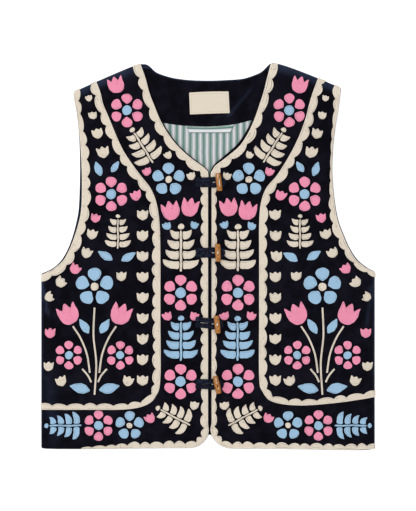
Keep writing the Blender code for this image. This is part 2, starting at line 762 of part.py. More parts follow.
def turned(ring, degrees, x=0.0, y=0.0):
    """An outline turned clockwise about the origin and moved."""
    angle = math.radians(-degrees)
    c, s = math.cos(angle), math.sin(angle)
    return [(x + px * c - py * s, y + px * s + py * c) for px, py in ring]


def flower(size, count, hub, width):
    """Separate petals round a disc."""
    reach = size / 2 - hub - PETAL_GAP
    shapes = [disc(hub, DISC_POINTS)]
    for k in range(count):
        blade = [(x, y + hub + PETAL_GAP) for x, y in petal(reach, width)]
        shapes.append(turned(blade, 360.0 * k / count))
    return shapes


def sprig(size, spread):
    """A fern sprig along +Y: pairs of leaflets up a stem and a tip leaf."""
    pitch = size * 0.8 / LEAFLET_PAIRS
    right = [(size * 0.018, 0.0)]
    for k in range(LEAFLET_PAIRS):
        foot = pitch * (k + 0.3)
        reach = size * spread * (1 - 0.13 * k)
        right.append((size * 0.028, foot))
        right.append((reach * 0.62, foot + pitch * 0.06))
        right.append((reach, foot + pitch))
        right.append((reach * 0.5, foot + pitch * 0.84))
    right.append((size * 0.035, size * 0.84))
    right.append((size * 0.075, size * 0.92))
    return [right + [(0.0, size)] + [(-x, y) for x, y in reversed(right)]]


def stem(points):
    """A narrow strip along a curve through the points."""
    path = smooth(points, EDGE_STEP)
    shares = np.linspace(0.0, 1.0, len(path))
    right = offset(path, [(share, STEM_WIDTH / 2) for share in shares])
    left = offset(path, [(share, -STEM_WIDTH / 2) for share in shares])
    return right + left[::-1]


def motif(kind, size):
    """The outlines of one motif, round about the origin or half below it."""
    if kind == "rosette":
        return flower(size, 6, size * 0.15, size * 0.33)
    if kind == "bloom":
        return flower(size, 5, size * 0.11, size * 0.37)
    if kind in SPRIG_SPREAD:
        shapes = sprig(size, SPRIG_SPREAD[kind])
    else:
        shapes = [{"bud": bud, "tulip": tulip, "leaf": leaf}[kind](size)]
    return [[(x, y - size / 2) for x, y in ring] for ring in shapes]


def side_shift(x, y, side):
    """A motif's place, drawn in where the right front is narrower than the left."""
    if side == LEFT:
        return x
    reach = []
    for which in (LEFT, RIGHT):
        edge = [(SIDE_REACH, ARMHOLE_END[which])] + side_points(FRONT_ARMHOLE, which)
        reach.append(float(np.interp(y, [point[1] for point in edge], [point[0] for point in edge])))
    near = [FRONT_EDGE[which]["x"] for which in (LEFT, RIGHT)]
    return near[1] + (x - near[0]) * (reach[1] - near[1]) / (reach[0] - near[0])


def motif_rows():
    """All rows of motifs, with the column of buds written out."""
    x, first, step, count, length = BUD_COLUMN
    column = tuple(("bud", x, first + k * step, 0.0, length) for k in range(count))
    return MOTIFS + column + PLANT_MOTIFS


def motif_outlines(side):
    """The outlines of each motif and stem of a front, in side coordinates."""
    groups = []
    for kind, x, y, turn, size in motif_rows():
        place_x = side_shift(x, y, side)
        groups.append([turned(ring, turn, place_x, y) for ring in motif(kind, size)])
    for points in PLANT_STEMS:
        groups.append([stem([(side_shift(x, y, side), y) for x, y in points])])
    return groups


def front_shapes(side):
    """Every stitched outline of a front, in garment coordinates."""
    shapes = band_outlines(side) + [ring for group in motif_outlines(side) for ring in group]
    return [mirrored(ring, side) for ring in shapes]


def curl_rows(folds):
    """Rows of points along the curls of one side, at which the cloth bends."""
    rows = []
    for fold, (start, end, count) in zip(folds, (SIDE_CURL_SPAN, SHOULDER_CURL_SPAN)):
        shares = np.linspace(start, end, count)
        rows += [fold.line(share * CURL_LENGTH, shares) for share in CURL_ROWS]
    return rows


def make_front(side):
    """One front with its raised stitching."""
    folds = FOLDS[side]
    outline = mirrored(front_outline(side), side)

    def place(x, y, out):
        return place_front(x, y, out, folds)

    coordinates, faces = wall_mesh(outline, curl_rows(folds), front_shapes(side), STITCH_HEIGHT, place)
    return add_object("front_" + side, "velvet", coordinates, faces)


def back_outline():
    """The whole cut edge of the back, in garment coordinates."""
    outline = smooth([mirrored([SHOULDER[LEFT]["neck"]], LEFT)[0]] + list(BACK_NECK)
                     + [SHOULDER[RIGHT]["neck"]], EDGE_STEP)[1:-1]
    side_x = SIDE_REACH - CURL_REACH + CURL_LENGTH
    halves = {}
    for side in (LEFT, RIGHT):
        shoulder = FOLDS[side][1].line(CURL_LENGTH, np.linspace(1.0, 0.0, SHOULDER_POINTS))
        armhole = side_points(BACK_ARMHOLE, side)[::-1] + [(side_x, ARMHOLE_END[side])]
        arm = mirrored(smooth([(SIGN[side] * shoulder[-1][0], shoulder[-1][1])] + armhole, EDGE_STEP), side)
        seam = mirrored(smooth([(side_x, ARMHOLE_END[side]), (side_x, SIDE_FOOT[side] + BACK_FOOT_RISE)],
                               3 * EDGE_STEP), side)
        halves[side] = shoulder + arm[1:-1] + seam
    hem = smooth(BACK_HEM, 2 * EDGE_STEP)
    return outline + halves[RIGHT] + hem + halves[LEFT][::-1]


def make_back():
    """The back, flat on the surface and curled up at sides and shoulders."""
    rows = curl_rows(FOLDS[LEFT]) + curl_rows(FOLDS[RIGHT])
    coordinates, faces = wall_mesh(back_outline(), rows, (), 0.0, place_back)
    return add_object("back", "velvet", coordinates, faces)


def slab(name, finish, outline, low, high):
    """A flat piece of cloth between two heights."""
    ring = turned_left(outline)
    count = len(ring)
    coordinates = [(x, y, low) for x, y in ring] + [(x, y, high) for x, y in ring]
    faces = [list(range(count))[::-1], list(range(count, 2 * count))]
    faces += [[k, (k + 1) % count, count + (k + 1) % count, count + k] for k in range(count)]
    return add_object(name, finish, coordinates, faces)


def facing_outline():
    """The neck facing: along the back neck, and under the fronts beside it."""
    top = [(x, y - FACING_INSET) for x, y in smooth(BACK_NECK[1:], EDGE_STEP)]
    sides = {}
    for side in (LEFT, RIGHT):
        rows = side_points(FRONT_NECK, side)[:3]
        sides[side] = mirrored([(x + FACING_UNDER_FRONT, y) for x, y in rows], side)
    left_end, right_end = FACING_ENDS
    foot = smooth(FACING_FOOT, EDGE_STEP)
    return [left_end] + top + [right_end] + sides[RIGHT] + foot[::-1] + sides[LEFT][::-1]


def below_facing(start, end, gap):
    """Points a gap below the facing's lower edge, between two places along X."""
    edge = np.array(smooth(FACING_FOOT, EDGE_STEP))
    places = [start] + [x for x in edge[:, 0] if start < x < end] + [end]
    return [(float(x), float(np.interp(x, edge[:, 0], edge[:, 1])) - gap) for x in places]


def make_neck():
    """Facing, lining, label and hanger strip inside the neck."""
    floor = WALL + TOUCH
    facing_top = floor + FACING_WALL
    lining_top = floor + LINING_WALL
    slab("neck_facing", "velvet", facing_outline(), floor, facing_top)

    edge = below_facing(-LINING_TOP, LINING_TOP, SEAM)
    left = [(-x, y) for x, y in LINING_SIDE[:-1]]
    slab("lining", "lining", edge + list(LINING_SIDE) + left[::-1], floor, lining_top)

    width, height, thick = LABEL_SIZE
    corners = []
    for sx, sy, start in ((1, 1, 0.0), (-1, 1, 90.0), (-1, -1, 180.0), (1, -1, 270.0)):
        centre = (LABEL_PLACE[0] + sx * (width / 2 - LABEL_CORNER),
                  LABEL_PLACE[1] + sy * (height / 2 - LABEL_CORNER))
        corners += arc(centre, LABEL_CORNER, start, start + 90.0, 2)
    slab("label", "label", corners, facing_top + TOUCH, facing_top + TOUCH + thick)

    top = below_facing(HANGER_TOP[0], HANGER_TOP[1], SEAM)
    foot = [(HANGER_FOOT[1], HANGER_FOOT_HEIGHT), (HANGER_FOOT[0], HANGER_FOOT_HEIGHT)]
    slab("hanger_loop", "lining", top + foot, lining_top + TOUCH, lining_top + TOUCH + HANGER_WALL)


def surface_height(x, y):
    """Top of the raised stitching of the front that lies at a point."""
    side = LEFT if x < 0 else RIGHT
    return place_front(x, y, HALF_WALL + STITCH_HEIGHT, FOLDS[side])[2]


def loop_path(closure):
    """Middle line of a loop's cord, out along one strand and back along the other."""
    y = closure["y"]
    half = CORD_SPACING / 2
    turn_x = closure["loop_end"] - half - CORD_WIDTH / 2
    spread, drop = closure["spread"], closure["drop"]
    upper = [(x, y + half + spread * (turn_x - x) / (turn_x - LOOP_START) * 0.5)
             for x in np.linspace(LOOP_START, turn_x, round((turn_x - LOOP_START) / CORD_STEP) + 1)]
    bight = arc((turn_x, y), half, 90.0, -90.0, BIGHT_STEPS)[1:-1]
    lower = [(x, 2 * y - above) for x, above in reversed(upper)]
    path = upper + bight + lower
    lean = [drop * (x - LOOP_START) / (closure["loop_end"] - LOOP_START) for x, _ in path]
    return [(x, above - shift) for (x, above), shift in zip(path, lean)]


def make_loop(number, closure):
    """A doubled cord loop, sewn to the left front and round its toggle."""
    path = np.array(loop_path(closure))
    runs = np.gradient(path, axis=0)
    runs /= np.linalg.norm(runs, axis=1)[:, None]
    coordinates = []
    for (x, y), run in zip(path, runs):
        low = surface_height(x, y) + TOUCH
        for k in range(CORD_SIDES):
            angle = 2 * math.pi * (k + 0.5) / CORD_SIDES
            across = CORD_WIDTH / 2 * math.cos(angle) / math.cos(math.pi / CORD_SIDES)
            up = CORD_THICK / 2 * (1 + math.sin(angle) / math.cos(math.pi / CORD_SIDES))
            coordinates.append((x - run[1] * across, y + run[0] * across, low + up))
    count = len(path)
    faces = []
    for ring in range(count - 1):
        for k in range(CORD_SIDES):
            a, b = ring * CORD_SIDES + k, ring * CORD_SIDES + (k + 1) % CORD_SIDES
            faces.append([a, b, b + CORD_SIDES, a + CORD_SIDES])
    faces.append(list(range(CORD_SIDES)))
    faces.append(list(range((count - 1) * CORD_SIDES, count * CORD_SIDES)))
    return add_object(f"loop_{number}", "cord", coordinates, faces, flat=False)


def toggle_floor(closure):
    """Height of a toggle's underside, just above its loop."""
    return surface_height(closure["toggle_x"], closure["y"]) + 2 * TOUCH + CORD_THICK


def toggle_middle(closure):
    """Where the middle of a toggle lies over its loop."""
    share = (closure["toggle_x"] - LOOP_START) / (closure["loop_end"] - LOOP_START)
    return closure["toggle_x"], closure["y"] - closure["drop"] * share


def make_toggle(number, closure):
    """A turned wooden bar with two thread holes."""
    coordinates = []
    for share, girth in TOGGLE_PROFILE:
        for k in range(TOGGLE_SIDES):
            angle = 2 * math.pi * (k + 0.5) / TOGGLE_SIDES
            coordinates.append((TOGGLE_WIDTH / 2 * girth * math.cos(angle),
                                TOGGLE_LENGTH * (share - 0.5),
                                TOGGLE_THICK / 2 * girth * math.sin(angle)))
    faces = []
    for ring in range(len(TOGGLE_PROFILE) - 1):
        for k in range(TOGGLE_SIDES):
            a, b = ring * TOGGLE_SIDES + k, ring * TOGGLE_SIDES + (k + 1) % TOGGLE_SIDES
            faces.append([a, b, b + TOGGLE_SIDES, a + TOGGLE_SIDES])
    faces.append(list(range(TOGGLE_SIDES)))
    last = (len(TOGGLE_PROFILE) - 1) * TOGGLE_SIDES
    faces.append(list(range(last, last + TOGGLE_SIDES)))
    toggle = add_object(f"toggle_{number}", "wood", coordinates, faces, flat=False)
    x, y = toggle_middle(closure)
    toggle.location = Vector((x, y, toggle_floor(closure) + TOGGLE_THICK / 2)) * MM
    toggle.rotation_euler.z = math.radians(closure["tilt"])
    for sign in (-1, 1):
        cutter = thread_cutter(f"thread_hole_{number}_{'low' if sign < 0 else 'high'}")
        cutter.parent = toggle
        cutter.location = Vector((0.0, sign * THREAD_SPACING / 2, 0.0)) * MM
        hole = toggle.modifiers.new(cutter.name, "BOOLEAN")
        hole.operation = "DIFFERENCE"
        hole.solver = "EXACT"
        hole.object = cutter
    return toggle


def thread_cutter(name):
    """A six-sided cutter for a thread hole."""
    ring = disc(THREAD_HOLE / 2, 6)
    reach = TOGGLE_THICK
    coordinates = [(x, y, -reach) for x, y in ring] + [(x, y, reach) for x, y in ring]
    faces = [list(range(6))[::-1], list(range(6, 12))]
    faces += [[k, (k + 1) % 6, 6 + (k + 1) % 6, 6 + k] for k in range(6)]
    cutter = add_object(name, "wood", coordinates, faces)
    cutter.hide_render = True
    cutter.display_type = "WIRE"
    return cutter


def centre_footprint():
    """Moves everything so that the footprint's middle is at the origin."""
    cloth = [bpy.data.objects[name] for name in ("back", "front_left", "front_right")]
    corners = np.array([vertex.co for item in cloth for vertex in item.data.vertices])
    low, high = corners.min(axis=0), corners.max(axis=0)
    shift = Vector((-(low[0] + high[0]) / 2, -(low[1] + high[1]) / 2, -low[2]))
    for item in bpy.data.objects:
        if item.parent is None:
            item.location += shift


def main():
    for item in list(bpy.data.objects):
        bpy.data.objects.remove(item)
    make_back()
    make_front(LEFT)
    make_front(RIGHT)
    make_neck()
    for number, closure in enumerate(CLOSURES, 1):
        make_loop(number, closure)
        make_toggle(number, closure)
    centre_footprint()


main()
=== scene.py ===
"""The look of an embroidered velvet waistcoat, laid flat and fastened.

Every piece of cloth is a thin closed wall on the form of its solid, the
embroidery lies on the fronts as rows of chain stitch, and cord loops hold four
wooden toggles.  Edges are held in millimetres in side coordinates: the first
number is the distance from the middle of the garment towards that side, the
second the height above the middle of its length.  Left and right are as seen
from above, with the hem towards the viewer.
"""

import math

import bpy
import numpy as np
from bpy.props import FloatProperty, FloatVectorProperty, PointerProperty
from bpy.types import Operator, Panel, PropertyGroup
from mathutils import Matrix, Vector


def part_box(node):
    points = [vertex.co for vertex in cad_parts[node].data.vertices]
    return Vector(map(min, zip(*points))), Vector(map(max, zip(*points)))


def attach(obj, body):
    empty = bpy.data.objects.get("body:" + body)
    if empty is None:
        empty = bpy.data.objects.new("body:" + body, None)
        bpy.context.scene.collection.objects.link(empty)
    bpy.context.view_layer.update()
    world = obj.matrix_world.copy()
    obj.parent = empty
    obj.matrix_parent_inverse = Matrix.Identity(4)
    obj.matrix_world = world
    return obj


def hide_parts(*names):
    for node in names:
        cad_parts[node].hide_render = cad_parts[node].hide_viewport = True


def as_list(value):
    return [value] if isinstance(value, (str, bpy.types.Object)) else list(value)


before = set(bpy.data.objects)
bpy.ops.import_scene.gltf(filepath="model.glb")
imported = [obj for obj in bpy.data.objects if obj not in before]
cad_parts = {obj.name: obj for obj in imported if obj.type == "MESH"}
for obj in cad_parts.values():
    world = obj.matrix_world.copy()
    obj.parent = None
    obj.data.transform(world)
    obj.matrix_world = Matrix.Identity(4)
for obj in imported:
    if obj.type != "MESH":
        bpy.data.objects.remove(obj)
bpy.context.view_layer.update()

bl_info = {
    "name": "Embroidered Waistcoat",
    "version": (1, 0, 0),
    "blender": (4, 5, 0),
    "location": "3D View > Sidebar > Waistcoat",
    "description": "Cloth, embroidery, loops and toggles of a waistcoat that lies flat",
    "category": "Object",
}

MM = 0.001
BODY = "root"

# Cloth, in millimetres
HALF_WALL = 1.0
SEAM = 0.3
TOUCH = 0.3
FOLD_RADIUS = 2.2
BACK_MIDDLE = HALF_WALL
FRONT_MIDDLE = BACK_MIDDLE + 2 * FOLD_RADIUS
SIDE_REACH = 250.5
SIDE_FOLD_ENDS = (-320.0, 0.0)
CURL_REACH = FOLD_RADIUS + HALF_WALL
CURL_LENGTH = FOLD_RADIUS * math.pi / 2 - SEAM / 2
SWELL_FADE = 25.0
RIM = 0.85
RIM_ANGLES = np.radians((50.0, 18.0, -18.0, -50.0))
CURL_STRIP = 5.5
CURL_STEPS = 9
# Distance between the points of a cut edge, and points of a shoulder and a corner
EDGE_STEP = 1.0
SHOULDER_POINTS = 60
CORNER_POINTS = 40
# Cells of the other pieces of cloth as shares of the fronts' cell
BACK_CELL = 1.4
FACING_CELL = 0.8
LINING_CELL = 0.55
SMALL_CELL = 0.3

LEFT, RIGHT = "left", "right"
SIGN = {LEFT: -1.0, RIGHT: 1.0}

# Shoulder fold: tip and neck end of its outermost line, and how far it bows out
SHOULDER = {
    LEFT: {"tip": (201.8, 247.6), "neck": (99.8, 289.6), "bow": 2.2},
    RIGHT: {"tip": (199.5, 253.5), "neck": (92.0, 289.5), "bow": 5.6},
}
# Where the centre front edge runs, and the radius of its lower corner
FRONT_EDGE = {
    LEFT: {"x": -2.1, "top": 116.0, "corner": 30.0},
    RIGHT: {"x": 2.7, "top": 116.0, "corner": 33.0},
}
CORNER_RISE = 0.3

# One row for each point of a cut edge: left x, left y, right x, right y
FRONT_NECK = (
    (92.2, 268.0, 86.3, 268.0),
    (86.3, 246.0, 80.8, 246.0),
    (77.3, 223.0, 72.9, 223.0),
    (69.4, 205.0, 65.6, 205.0),
    (58.8, 187.0, 56.3, 187.0),
    (45.3, 169.0, 43.9, 169.0),
    (27.5, 152.0, 25.0, 152.0),
    (9.8, 138.5, 9.3, 138.5),
    (1.4, 131.5, 4.9, 130.5),
    (-1.6, 126.5, 2.9, 127.0),
)
FRONT_HEM = (
    (80.0, -287.2, 90.0, -287.9),
    (130.0, -287.8, 150.0, -288.8),
    (190.0, -288.4, 205.0, -289.8),
    (244.0, -287.8, 244.0, -289.0),
)
FRONT_ARMHOLE = (
    (233.0, -17.6, 237.0, -15.4),
    (219.0, -5.4, 223.5, -4.4),
    (210.0, 9.8, 212.2, 12.8),
    (202.5, 28.0, 203.6, 32.0),
    (195.8, 49.0, 195.8, 52.5),
    (191.5, 70.0, 190.6, 78.0),
    (190.1, 100.0, 187.8, 103.0),
    (190.1, 130.0, 186.3, 130.0),
    (191.5, 160.0, 187.3, 160.0),
    (193.8, 190.0, 190.5, 190.0),
    (197.2, 217.0, 195.0, 217.0),
    (201.0, 238.0, 198.2, 240.0),
)
BACK_ARMHOLE = (
    (235.0, -18.2, 238.0, -15.4),
    (222.0, -7.2, 224.8, -4.4),
    (212.6, 7.6, 213.4, 12.4),
    (205.0, 26.0, 204.6, 32.0),
    (198.8, 48.0, 196.7, 52.5),
    (194.6, 70.0, 191.4, 78.0),
    (193.0, 100.0, 188.5, 103.0),
    (192.4, 130.0, 187.0, 130.0),
    (192.8, 160.0, 187.9, 160.0),
    (194.4, 190.0, 191.0, 190.0),
    (197.5, 217.0, 195.3, 217.0),
    (201.1, 238.0, 198.3, 240.0),
)
ARMHOLE_END = {LEFT: -25.5, RIGHT: -22.5}
SIDE_FOOT = {LEFT: -284.0, RIGHT: -284.0}
BACK_FOOT_RISE = 3.0

# Back neck and hem from left to right, in garment coordinates
BACK_NECK = (
    (-92.0, 289.0), (-85.5, 284.2), (-81.0, 279.8), (-73.5, 275.2), (-54.0, 269.2),
    (-30.0, 265.8), (0.0, 264.7), (30.0, 265.8), (54.0, 268.0), (75.0, 275.2),
    (82.5, 279.8), (87.2, 284.4),
)
BACK_HEM = (
    (-238.0, -285.2), (-150.0, -285.4), (-80.0, -284.6), (-38.0, -281.5), (-12.0, -275.0), (2.4, -267.0),
    (16.0, -275.0), (40.0, -281.5), (80.0, -284.8), (150.0, -286.4), (238.0, -286.2),
)

# Scalloped bands of stitching: pitch, share of the width that the notches take,
# and rows of a coordinate along an axis with the gap to the edge and the width there
BANDS = {
    "neck_left": {"pitch": 25.0, "notch": 0.44, "axis": 1, "rows": (
        (130.0, 1.1, 12.8), (152.0, 1.6, 12.8), (187.0, 1.9, 12.8), (230.0, 1.3, 12.8))},
    "neck_right": {"pitch": 25.0, "notch": 0.44, "axis": 1, "rows": (
        (127.0, 1.2, 12.2), (140.0, 2.4, 12.2), (152.0, 3.6, 12.2), (169.0, 4.2, 12.0),
        (187.0, 3.8, 12.0), (205.0, 2.9, 12.0), (230.0, 1.9, 12.2))},
    "front_left": {"pitch": 21.0, "notch": 0.44, "axis": 1, "rows": ((0.0, 1.8, 11.4),)},
    "front_right": {"pitch": 21.0, "notch": 0.44, "axis": 1, "rows": ((0.0, 2.6, 8.0),)},
    "hem_left": {"pitch": 17.0, "notch": 0.55, "axis": 0, "rows": (
        (30.0, 0.4, 11.0), (110.0, 0.4, 9.6), (150.0, 0.4, 5.8), (190.0, 0.4, 2.6))},
    "hem_right": {"pitch": 17.0, "notch": 0.55, "axis": 0, "rows": ((30.0, 0.4, 10.4), (120.0, 0.4, 9.2))},
    "armhole_left": {"pitch": 22.0, "notch": 0.44, "axis": 1, "rows": (
        (-30.0, 1.4, 9.5), (-18.0, 1.4, 13.0), (80.0, 1.1, 13.4), (145.0, 0.6, 13.2),
        (169.0, 0.5, 11.4), (192.0, 0.4, 9.2), (214.0, 0.4, 7.6), (245.0, 0.4, 9.8))},
    "armhole_right": {"pitch": 20.5, "notch": 0.44, "axis": 1, "rows": (
        (-24.0, 0.9, 7.0), (-5.0, 0.9, 9.6), (20.0, 0.8, 11.0), (50.0, 0.7, 12.2),
        (81.0, 0.6, 9.0), (103.0, 0.5, 4.9), (128.0, 0.4, 3.3), (150.0, 0.4, 2.9),
        (172.0, 0.4, 3.5), (197.0, 0.4, 5.5), (226.0, 0.4, 8.3), (248.0, 0.4, 11.7))},
    "inner": {"pitch": 23.0, "notch": 0.44, "axis": 1, "rows": (
        (-222.0, 0.0, 10.0), (-200.0, 0.0, 12.4), (0.0, 0.0, 12.8))},
}
# Scallops differ: by how much of a pitch their ends shift, by how much of itself
# their rise does, and the angles that set both from one scallop to the next
SCALLOP_SHIFT = 0.09
SCALLOP_RISE = 0.12
SHIFT_TURN = 2.4
RISE_TURN = 1.9
RISE_START = 0.7
SCALLOP_POWER = 0.6
# How far along the hem the left band reaches
HEM_BAND_END = 190.0
BAND_OVERRUN = 6.0
ARMHOLE_FOOT_OVERRUN = (8.0, -4.0)
ARMHOLE_TIP_OVERRUN = (1.5, 18.0)
BAND_BLEND = 14.0
# Straight side of the inner band, from the shoulder to the side seam
INNER_BAND = (
    (176.0, 284.0, 171.0, 284.0),
    (168.0, 264.8, 164.5, 267.0),
    (161.2, 246.8, 157.0, 246.8),
    (156.8, 228.8, 151.5, 228.8),
    (149.2, 210.8, 147.0, 210.8),
    (141.8, 192.8, 141.0, 192.8),
    (134.2, 174.8, 133.5, 174.8),
    (125.2, 156.8, 124.5, 156.8),
    (113.2, 138.8, 114.0, 138.8),
    (99.8, 120.8, 102.0, 120.8),
    (85.8, 102.8, 87.0, 102.8),
    (76.8, 80.0, 79.0, 80.0),
    (72.4, 48.8, 76.5, 48.8),
    (71.2, 0.0, 76.5, 0.0),
    (71.2, -90.0, 76.5, -90.0),
    (71.2, -182.0, 76.5, -180.0),
    (78.0, -209.0, 81.5, -202.0),
    (94.0, -223.0, 97.0, -217.5),
    (126.0, -229.0, 138.0, -223.0),
    (190.0, -229.5, 198.0, -218.5),
    (256.0, -229.5, 256.0, -209.5),
)

# Soft swells of the laid fronts: x, y, half-lengths along x and y, height
SWELLS = (
    (168.0, -60.0, 46.0, 90.0, 1.0),
    (120.0, 120.0, 40.0, 60.0, 0.6),
    (105.0, -215.0, 60.0, 38.0, 0.7),
    (212.0, -190.0, 34.0, 60.0, 0.6),
)
# Creases of the laid fronts: x and y of both ends, half width, height
CREASES = {
    LEFT: (
        (238.0, -52.0, 240.0, -128.0, 5.0, 1.3),
        (227.0, -40.0, 196.0, -96.0, 8.0, -0.8),
        (236.0, -170.0, 214.0, -226.0, 9.0, 0.9),
        (178.0, 8.0, 150.0, -34.0, 9.0, 0.7),
        (150.0, 205.0, 168.0, 238.0, 8.0, 0.7),
        (110.0, -236.0, 60.0, -262.0, 9.0, 0.7),
        (88.0, 40.0, 92.0, -40.0, 8.0, -0.6),
    ),
    RIGHT: (
        (241.0, -48.0, 236.0, -112.0, 5.5, 1.2),
        (222.0, -30.0, 186.0, -70.0, 9.0, 0.8),
        (232.0, -180.0, 240.0, -240.0, 7.0, 0.9),
        (150.0, -250.0, 210.0, -262.0, 9.0, -0.7),
        (128.0, 190.0, 118.0, 236.0, 9.0, 0.7),
        (90.0, -120.0, 94.0, -190.0, 9.0, -0.6),
        (176.0, 60.0, 160.0, 14.0, 8.0, 0.6),
    ),
}
# Streaks of painted highlight on the pile, where it catches the light: x and y of both ends, half width and
# strength; those of the facing in garment coordinates
LIT_STREAKS = {
    LEFT: ((248.5, -42.0, 241.0, -82.0, 2.0, 0.6), (238.0, -196.0, 230.0, -258.0, 9.0, 0.22)),
    RIGHT: ((244.0, -50.0, 239.0, -98.0, 3.0, 0.35),),
    "facing": ((59.5, 245.5, 33.0, 214.5, 2.6, 0.3), (33.0, 214.5, 14.0, 209.5, 2.2, 0.12)),
}
# Creases of the neck facing and of the lining, in garment coordinates
FACING_CREASES = (
    (59.5, 245.5, 33.0, 214.5, 3.2, 0.5),
    (-62.0, 258.0, -48.0, 214.0, 6.0, 0.35),
    (-8.0, 262.0, 24.0, 256.0, 5.0, 0.3),
)
LINING_CREASES = (
    (-34.0, 190.0, -20.0, 144.0, 4.0, 0.35),
    (22.0, 190.0, 12.0, 140.0, 5.0, -0.3),
)

# Stitched motifs of one front: kind, x, y, turn in degrees, length, colour
MOTIFS = (
    ("tulip", 138.0, 258.5, 18.0, 27.0, "pink"),
    ("rosette", 121.5, 219.5, 0.0, 51.0, "pink"),
    ("sprig", 99.0, 167.5, 32.0, 64.0, "cream"),
    ("bud", 60.0, 152.5, 30.0, 12.5, "cream"),
    ("bloom", 59.0, 116.0, 0.0, 50.0, "blue"),
    ("bud", 25.0, 121.0, 15.0, 13.5, "cream"),
    ("bud", 91.5, 127.5, 20.0, 14.0, "pink"),
    ("tulip", 27.0, 75.0, -14.0, 29.0, "pink"),
    ("tulip", 56.0, 70.0, 14.0, 30.0, "pink"),
    ("sprig", 40.5, 14.0, 0.0, 74.0, "cream"),
    ("bud", 20.5, 47.5, -20.0, 13.0, "blue"),
    ("bud", 61.5, 46.0, 20.0, 13.5, "blue"),
    ("rosette", 41.0, -54.0, 0.0, 54.0, "pink"),
    ("bud", 20.5, -89.0, -20.0, 14.5, "pink"),
    ("bud", 61.0, -89.0, 20.0, 15.0, "pink"),
    ("sprig", 40.5, -122.0, 0.0, 70.0, "blue"),
    ("rosette", 41.0, -187.0, 0.0, 53.0, "pink"),
    ("bud", 20.5, -223.0, -10.0, 14.5, "cream"),
    ("frond", 52.5, -239.0, 62.0, 60.0, "cream"),
    ("bud", 87.0, -242.0, 30.0, 16.0, "pink"),
    ("bloom", 117.5, -253.0, 0.0, 44.0, "blue"),
    ("rosette", 164.0, -253.0, 0.0, 46.0, "pink"),
    ("frond", 217.5, -253.0, 90.0, 58.0, "blue"),
    ("bud", 178.3, 238.0, 12.0, 11.0, "cream"),
    ("bud", 172.5, 212.0, 12.0, 13.5, "cream"),
    ("bud", 165.5, 185.0, 14.0, 17.0, "cream"),
    ("bud", 157.5, 157.0, 10.0, 19.0, "cream"),
    ("leaf", 164.5, 132.0, 20.0, 25.0, "blue"),
    ("leaf", 139.5, 135.0, -35.0, 22.0, "blue"),
    ("rosette", 145.0, 94.0, 0.0, 52.0, "pink"),
    ("bud", 108.0, 92.0, 20.0, 17.0, "pink"),
    ("sprig", 135.0, 38.0, 0.0, 54.0, "cream"),
    ("bud", 168.5, 58.0, -10.0, 15.5, "pink"),
    ("bud", 174.0, 34.0, -15.0, 17.0, "cream"),
    ("bud", 182.0, 6.0, -25.0, 17.0, "cream"),
    ("bud", 199.0, -18.0, -35.0, 17.0, "pink"),
    ("bud", 221.0, -38.0, -50.0, 17.0, "cream"),
    ("bud", 238.0, -60.0, -65.0, 15.0, "cream"),
    ("leaf", 119.0, 0.0, -60.0, 27.0, "blue"),
    ("leaf", 154.0, 2.0, 60.0, 27.0, "blue"),
)
# The column of buds along the inner band: x, first y, step, count, length
BUD_COLUMN = (98.0, 63.0, -31.0, 9, 18.0)
# The flowering plant of the lower field
PLANT_MOTIFS = (
    ("bloom", 170.0, -45.0, 0.0, 58.0, "blue"),
    ("tulip", 130.5, -85.0, -24.0, 34.0, "pink"),
    ("tulip", 209.5, -85.0, 24.0, 34.0, "pink"),
    ("leaf", 154.5, -104.0, -32.0, 28.0, "blue"),
    ("leaf", 185.5, -104.0, 32.0, 28.0, "blue"),
    ("rosette", 131.5, -147.5, 0.0, 43.0, "pink"),
    ("rosette", 208.5, -147.5, 0.0, 43.0, "pink"),
    ("leaf", 148.0, -197.0, -78.0, 34.0, "blue"),
    ("leaf", 192.0, -197.0, 78.0, 34.0, "blue"),
    ("bud", 120.0, -186.0, -20.0, 17.0, "cream"),
    ("bud", 220.0, -186.0, 20.0, 17.0, "cream"),
    ("bud", 236.5, -114.0, 0.0, 17.0, "pink"),
    ("bud", 239.0, -164.0, 0.0, 16.0, "cream"),
    ("bud", 130.0, -29.0, 0.0, 16.0, "cream"),
)
PLANT_STEMS = (
    ((170.0, -207.0), (167.5, -160.0), (171.5, -118.0), (170.0, -76.0)),
    ((163.0, -174.0), (158.5, -146.0), (149.0, -122.0), (137.5, -104.0)),
    ((177.0, -174.0), (181.5, -146.0), (191.0, -122.0), (202.5, -104.0)),
    ((165.0, -188.0), (160.0, -178.0), (151.5, -168.0)),
    ((175.0, -188.0), (180.0, -178.0), (188.5, -168.0)),
)
STEM_WIDTH = 2.9
PETAL_GAP = 1.2
LEAFLET_PAIRS = 4
SPRIG_SPREAD = {"sprig": 0.37, "frond": 0.36}
FLOWERS = {
    "rosette": {"petals": 6, "hub": 0.15, "width": 0.33, "disc": "blue"},
    "bloom": {"petals": 5, "hub": 0.11, "width": 0.37, "disc": "cream"},
}

THREADS = ("cream", "pink", "blue")
# Rows of chain stitch: samples across a row, how far a row's rim sinks in,
# and heights of the valleys and ridges over the velvet
ACROSS = 4
STITCH_SINK = -0.12
STITCH_VALLEY = 0.55
STITCH_RIDGE = 0.95
RIDGE_POWER = 0.6
SAMPLE_STEP = 1.5
# How far inside the cloth's end a band stops
BAND_MARGIN = 0.2

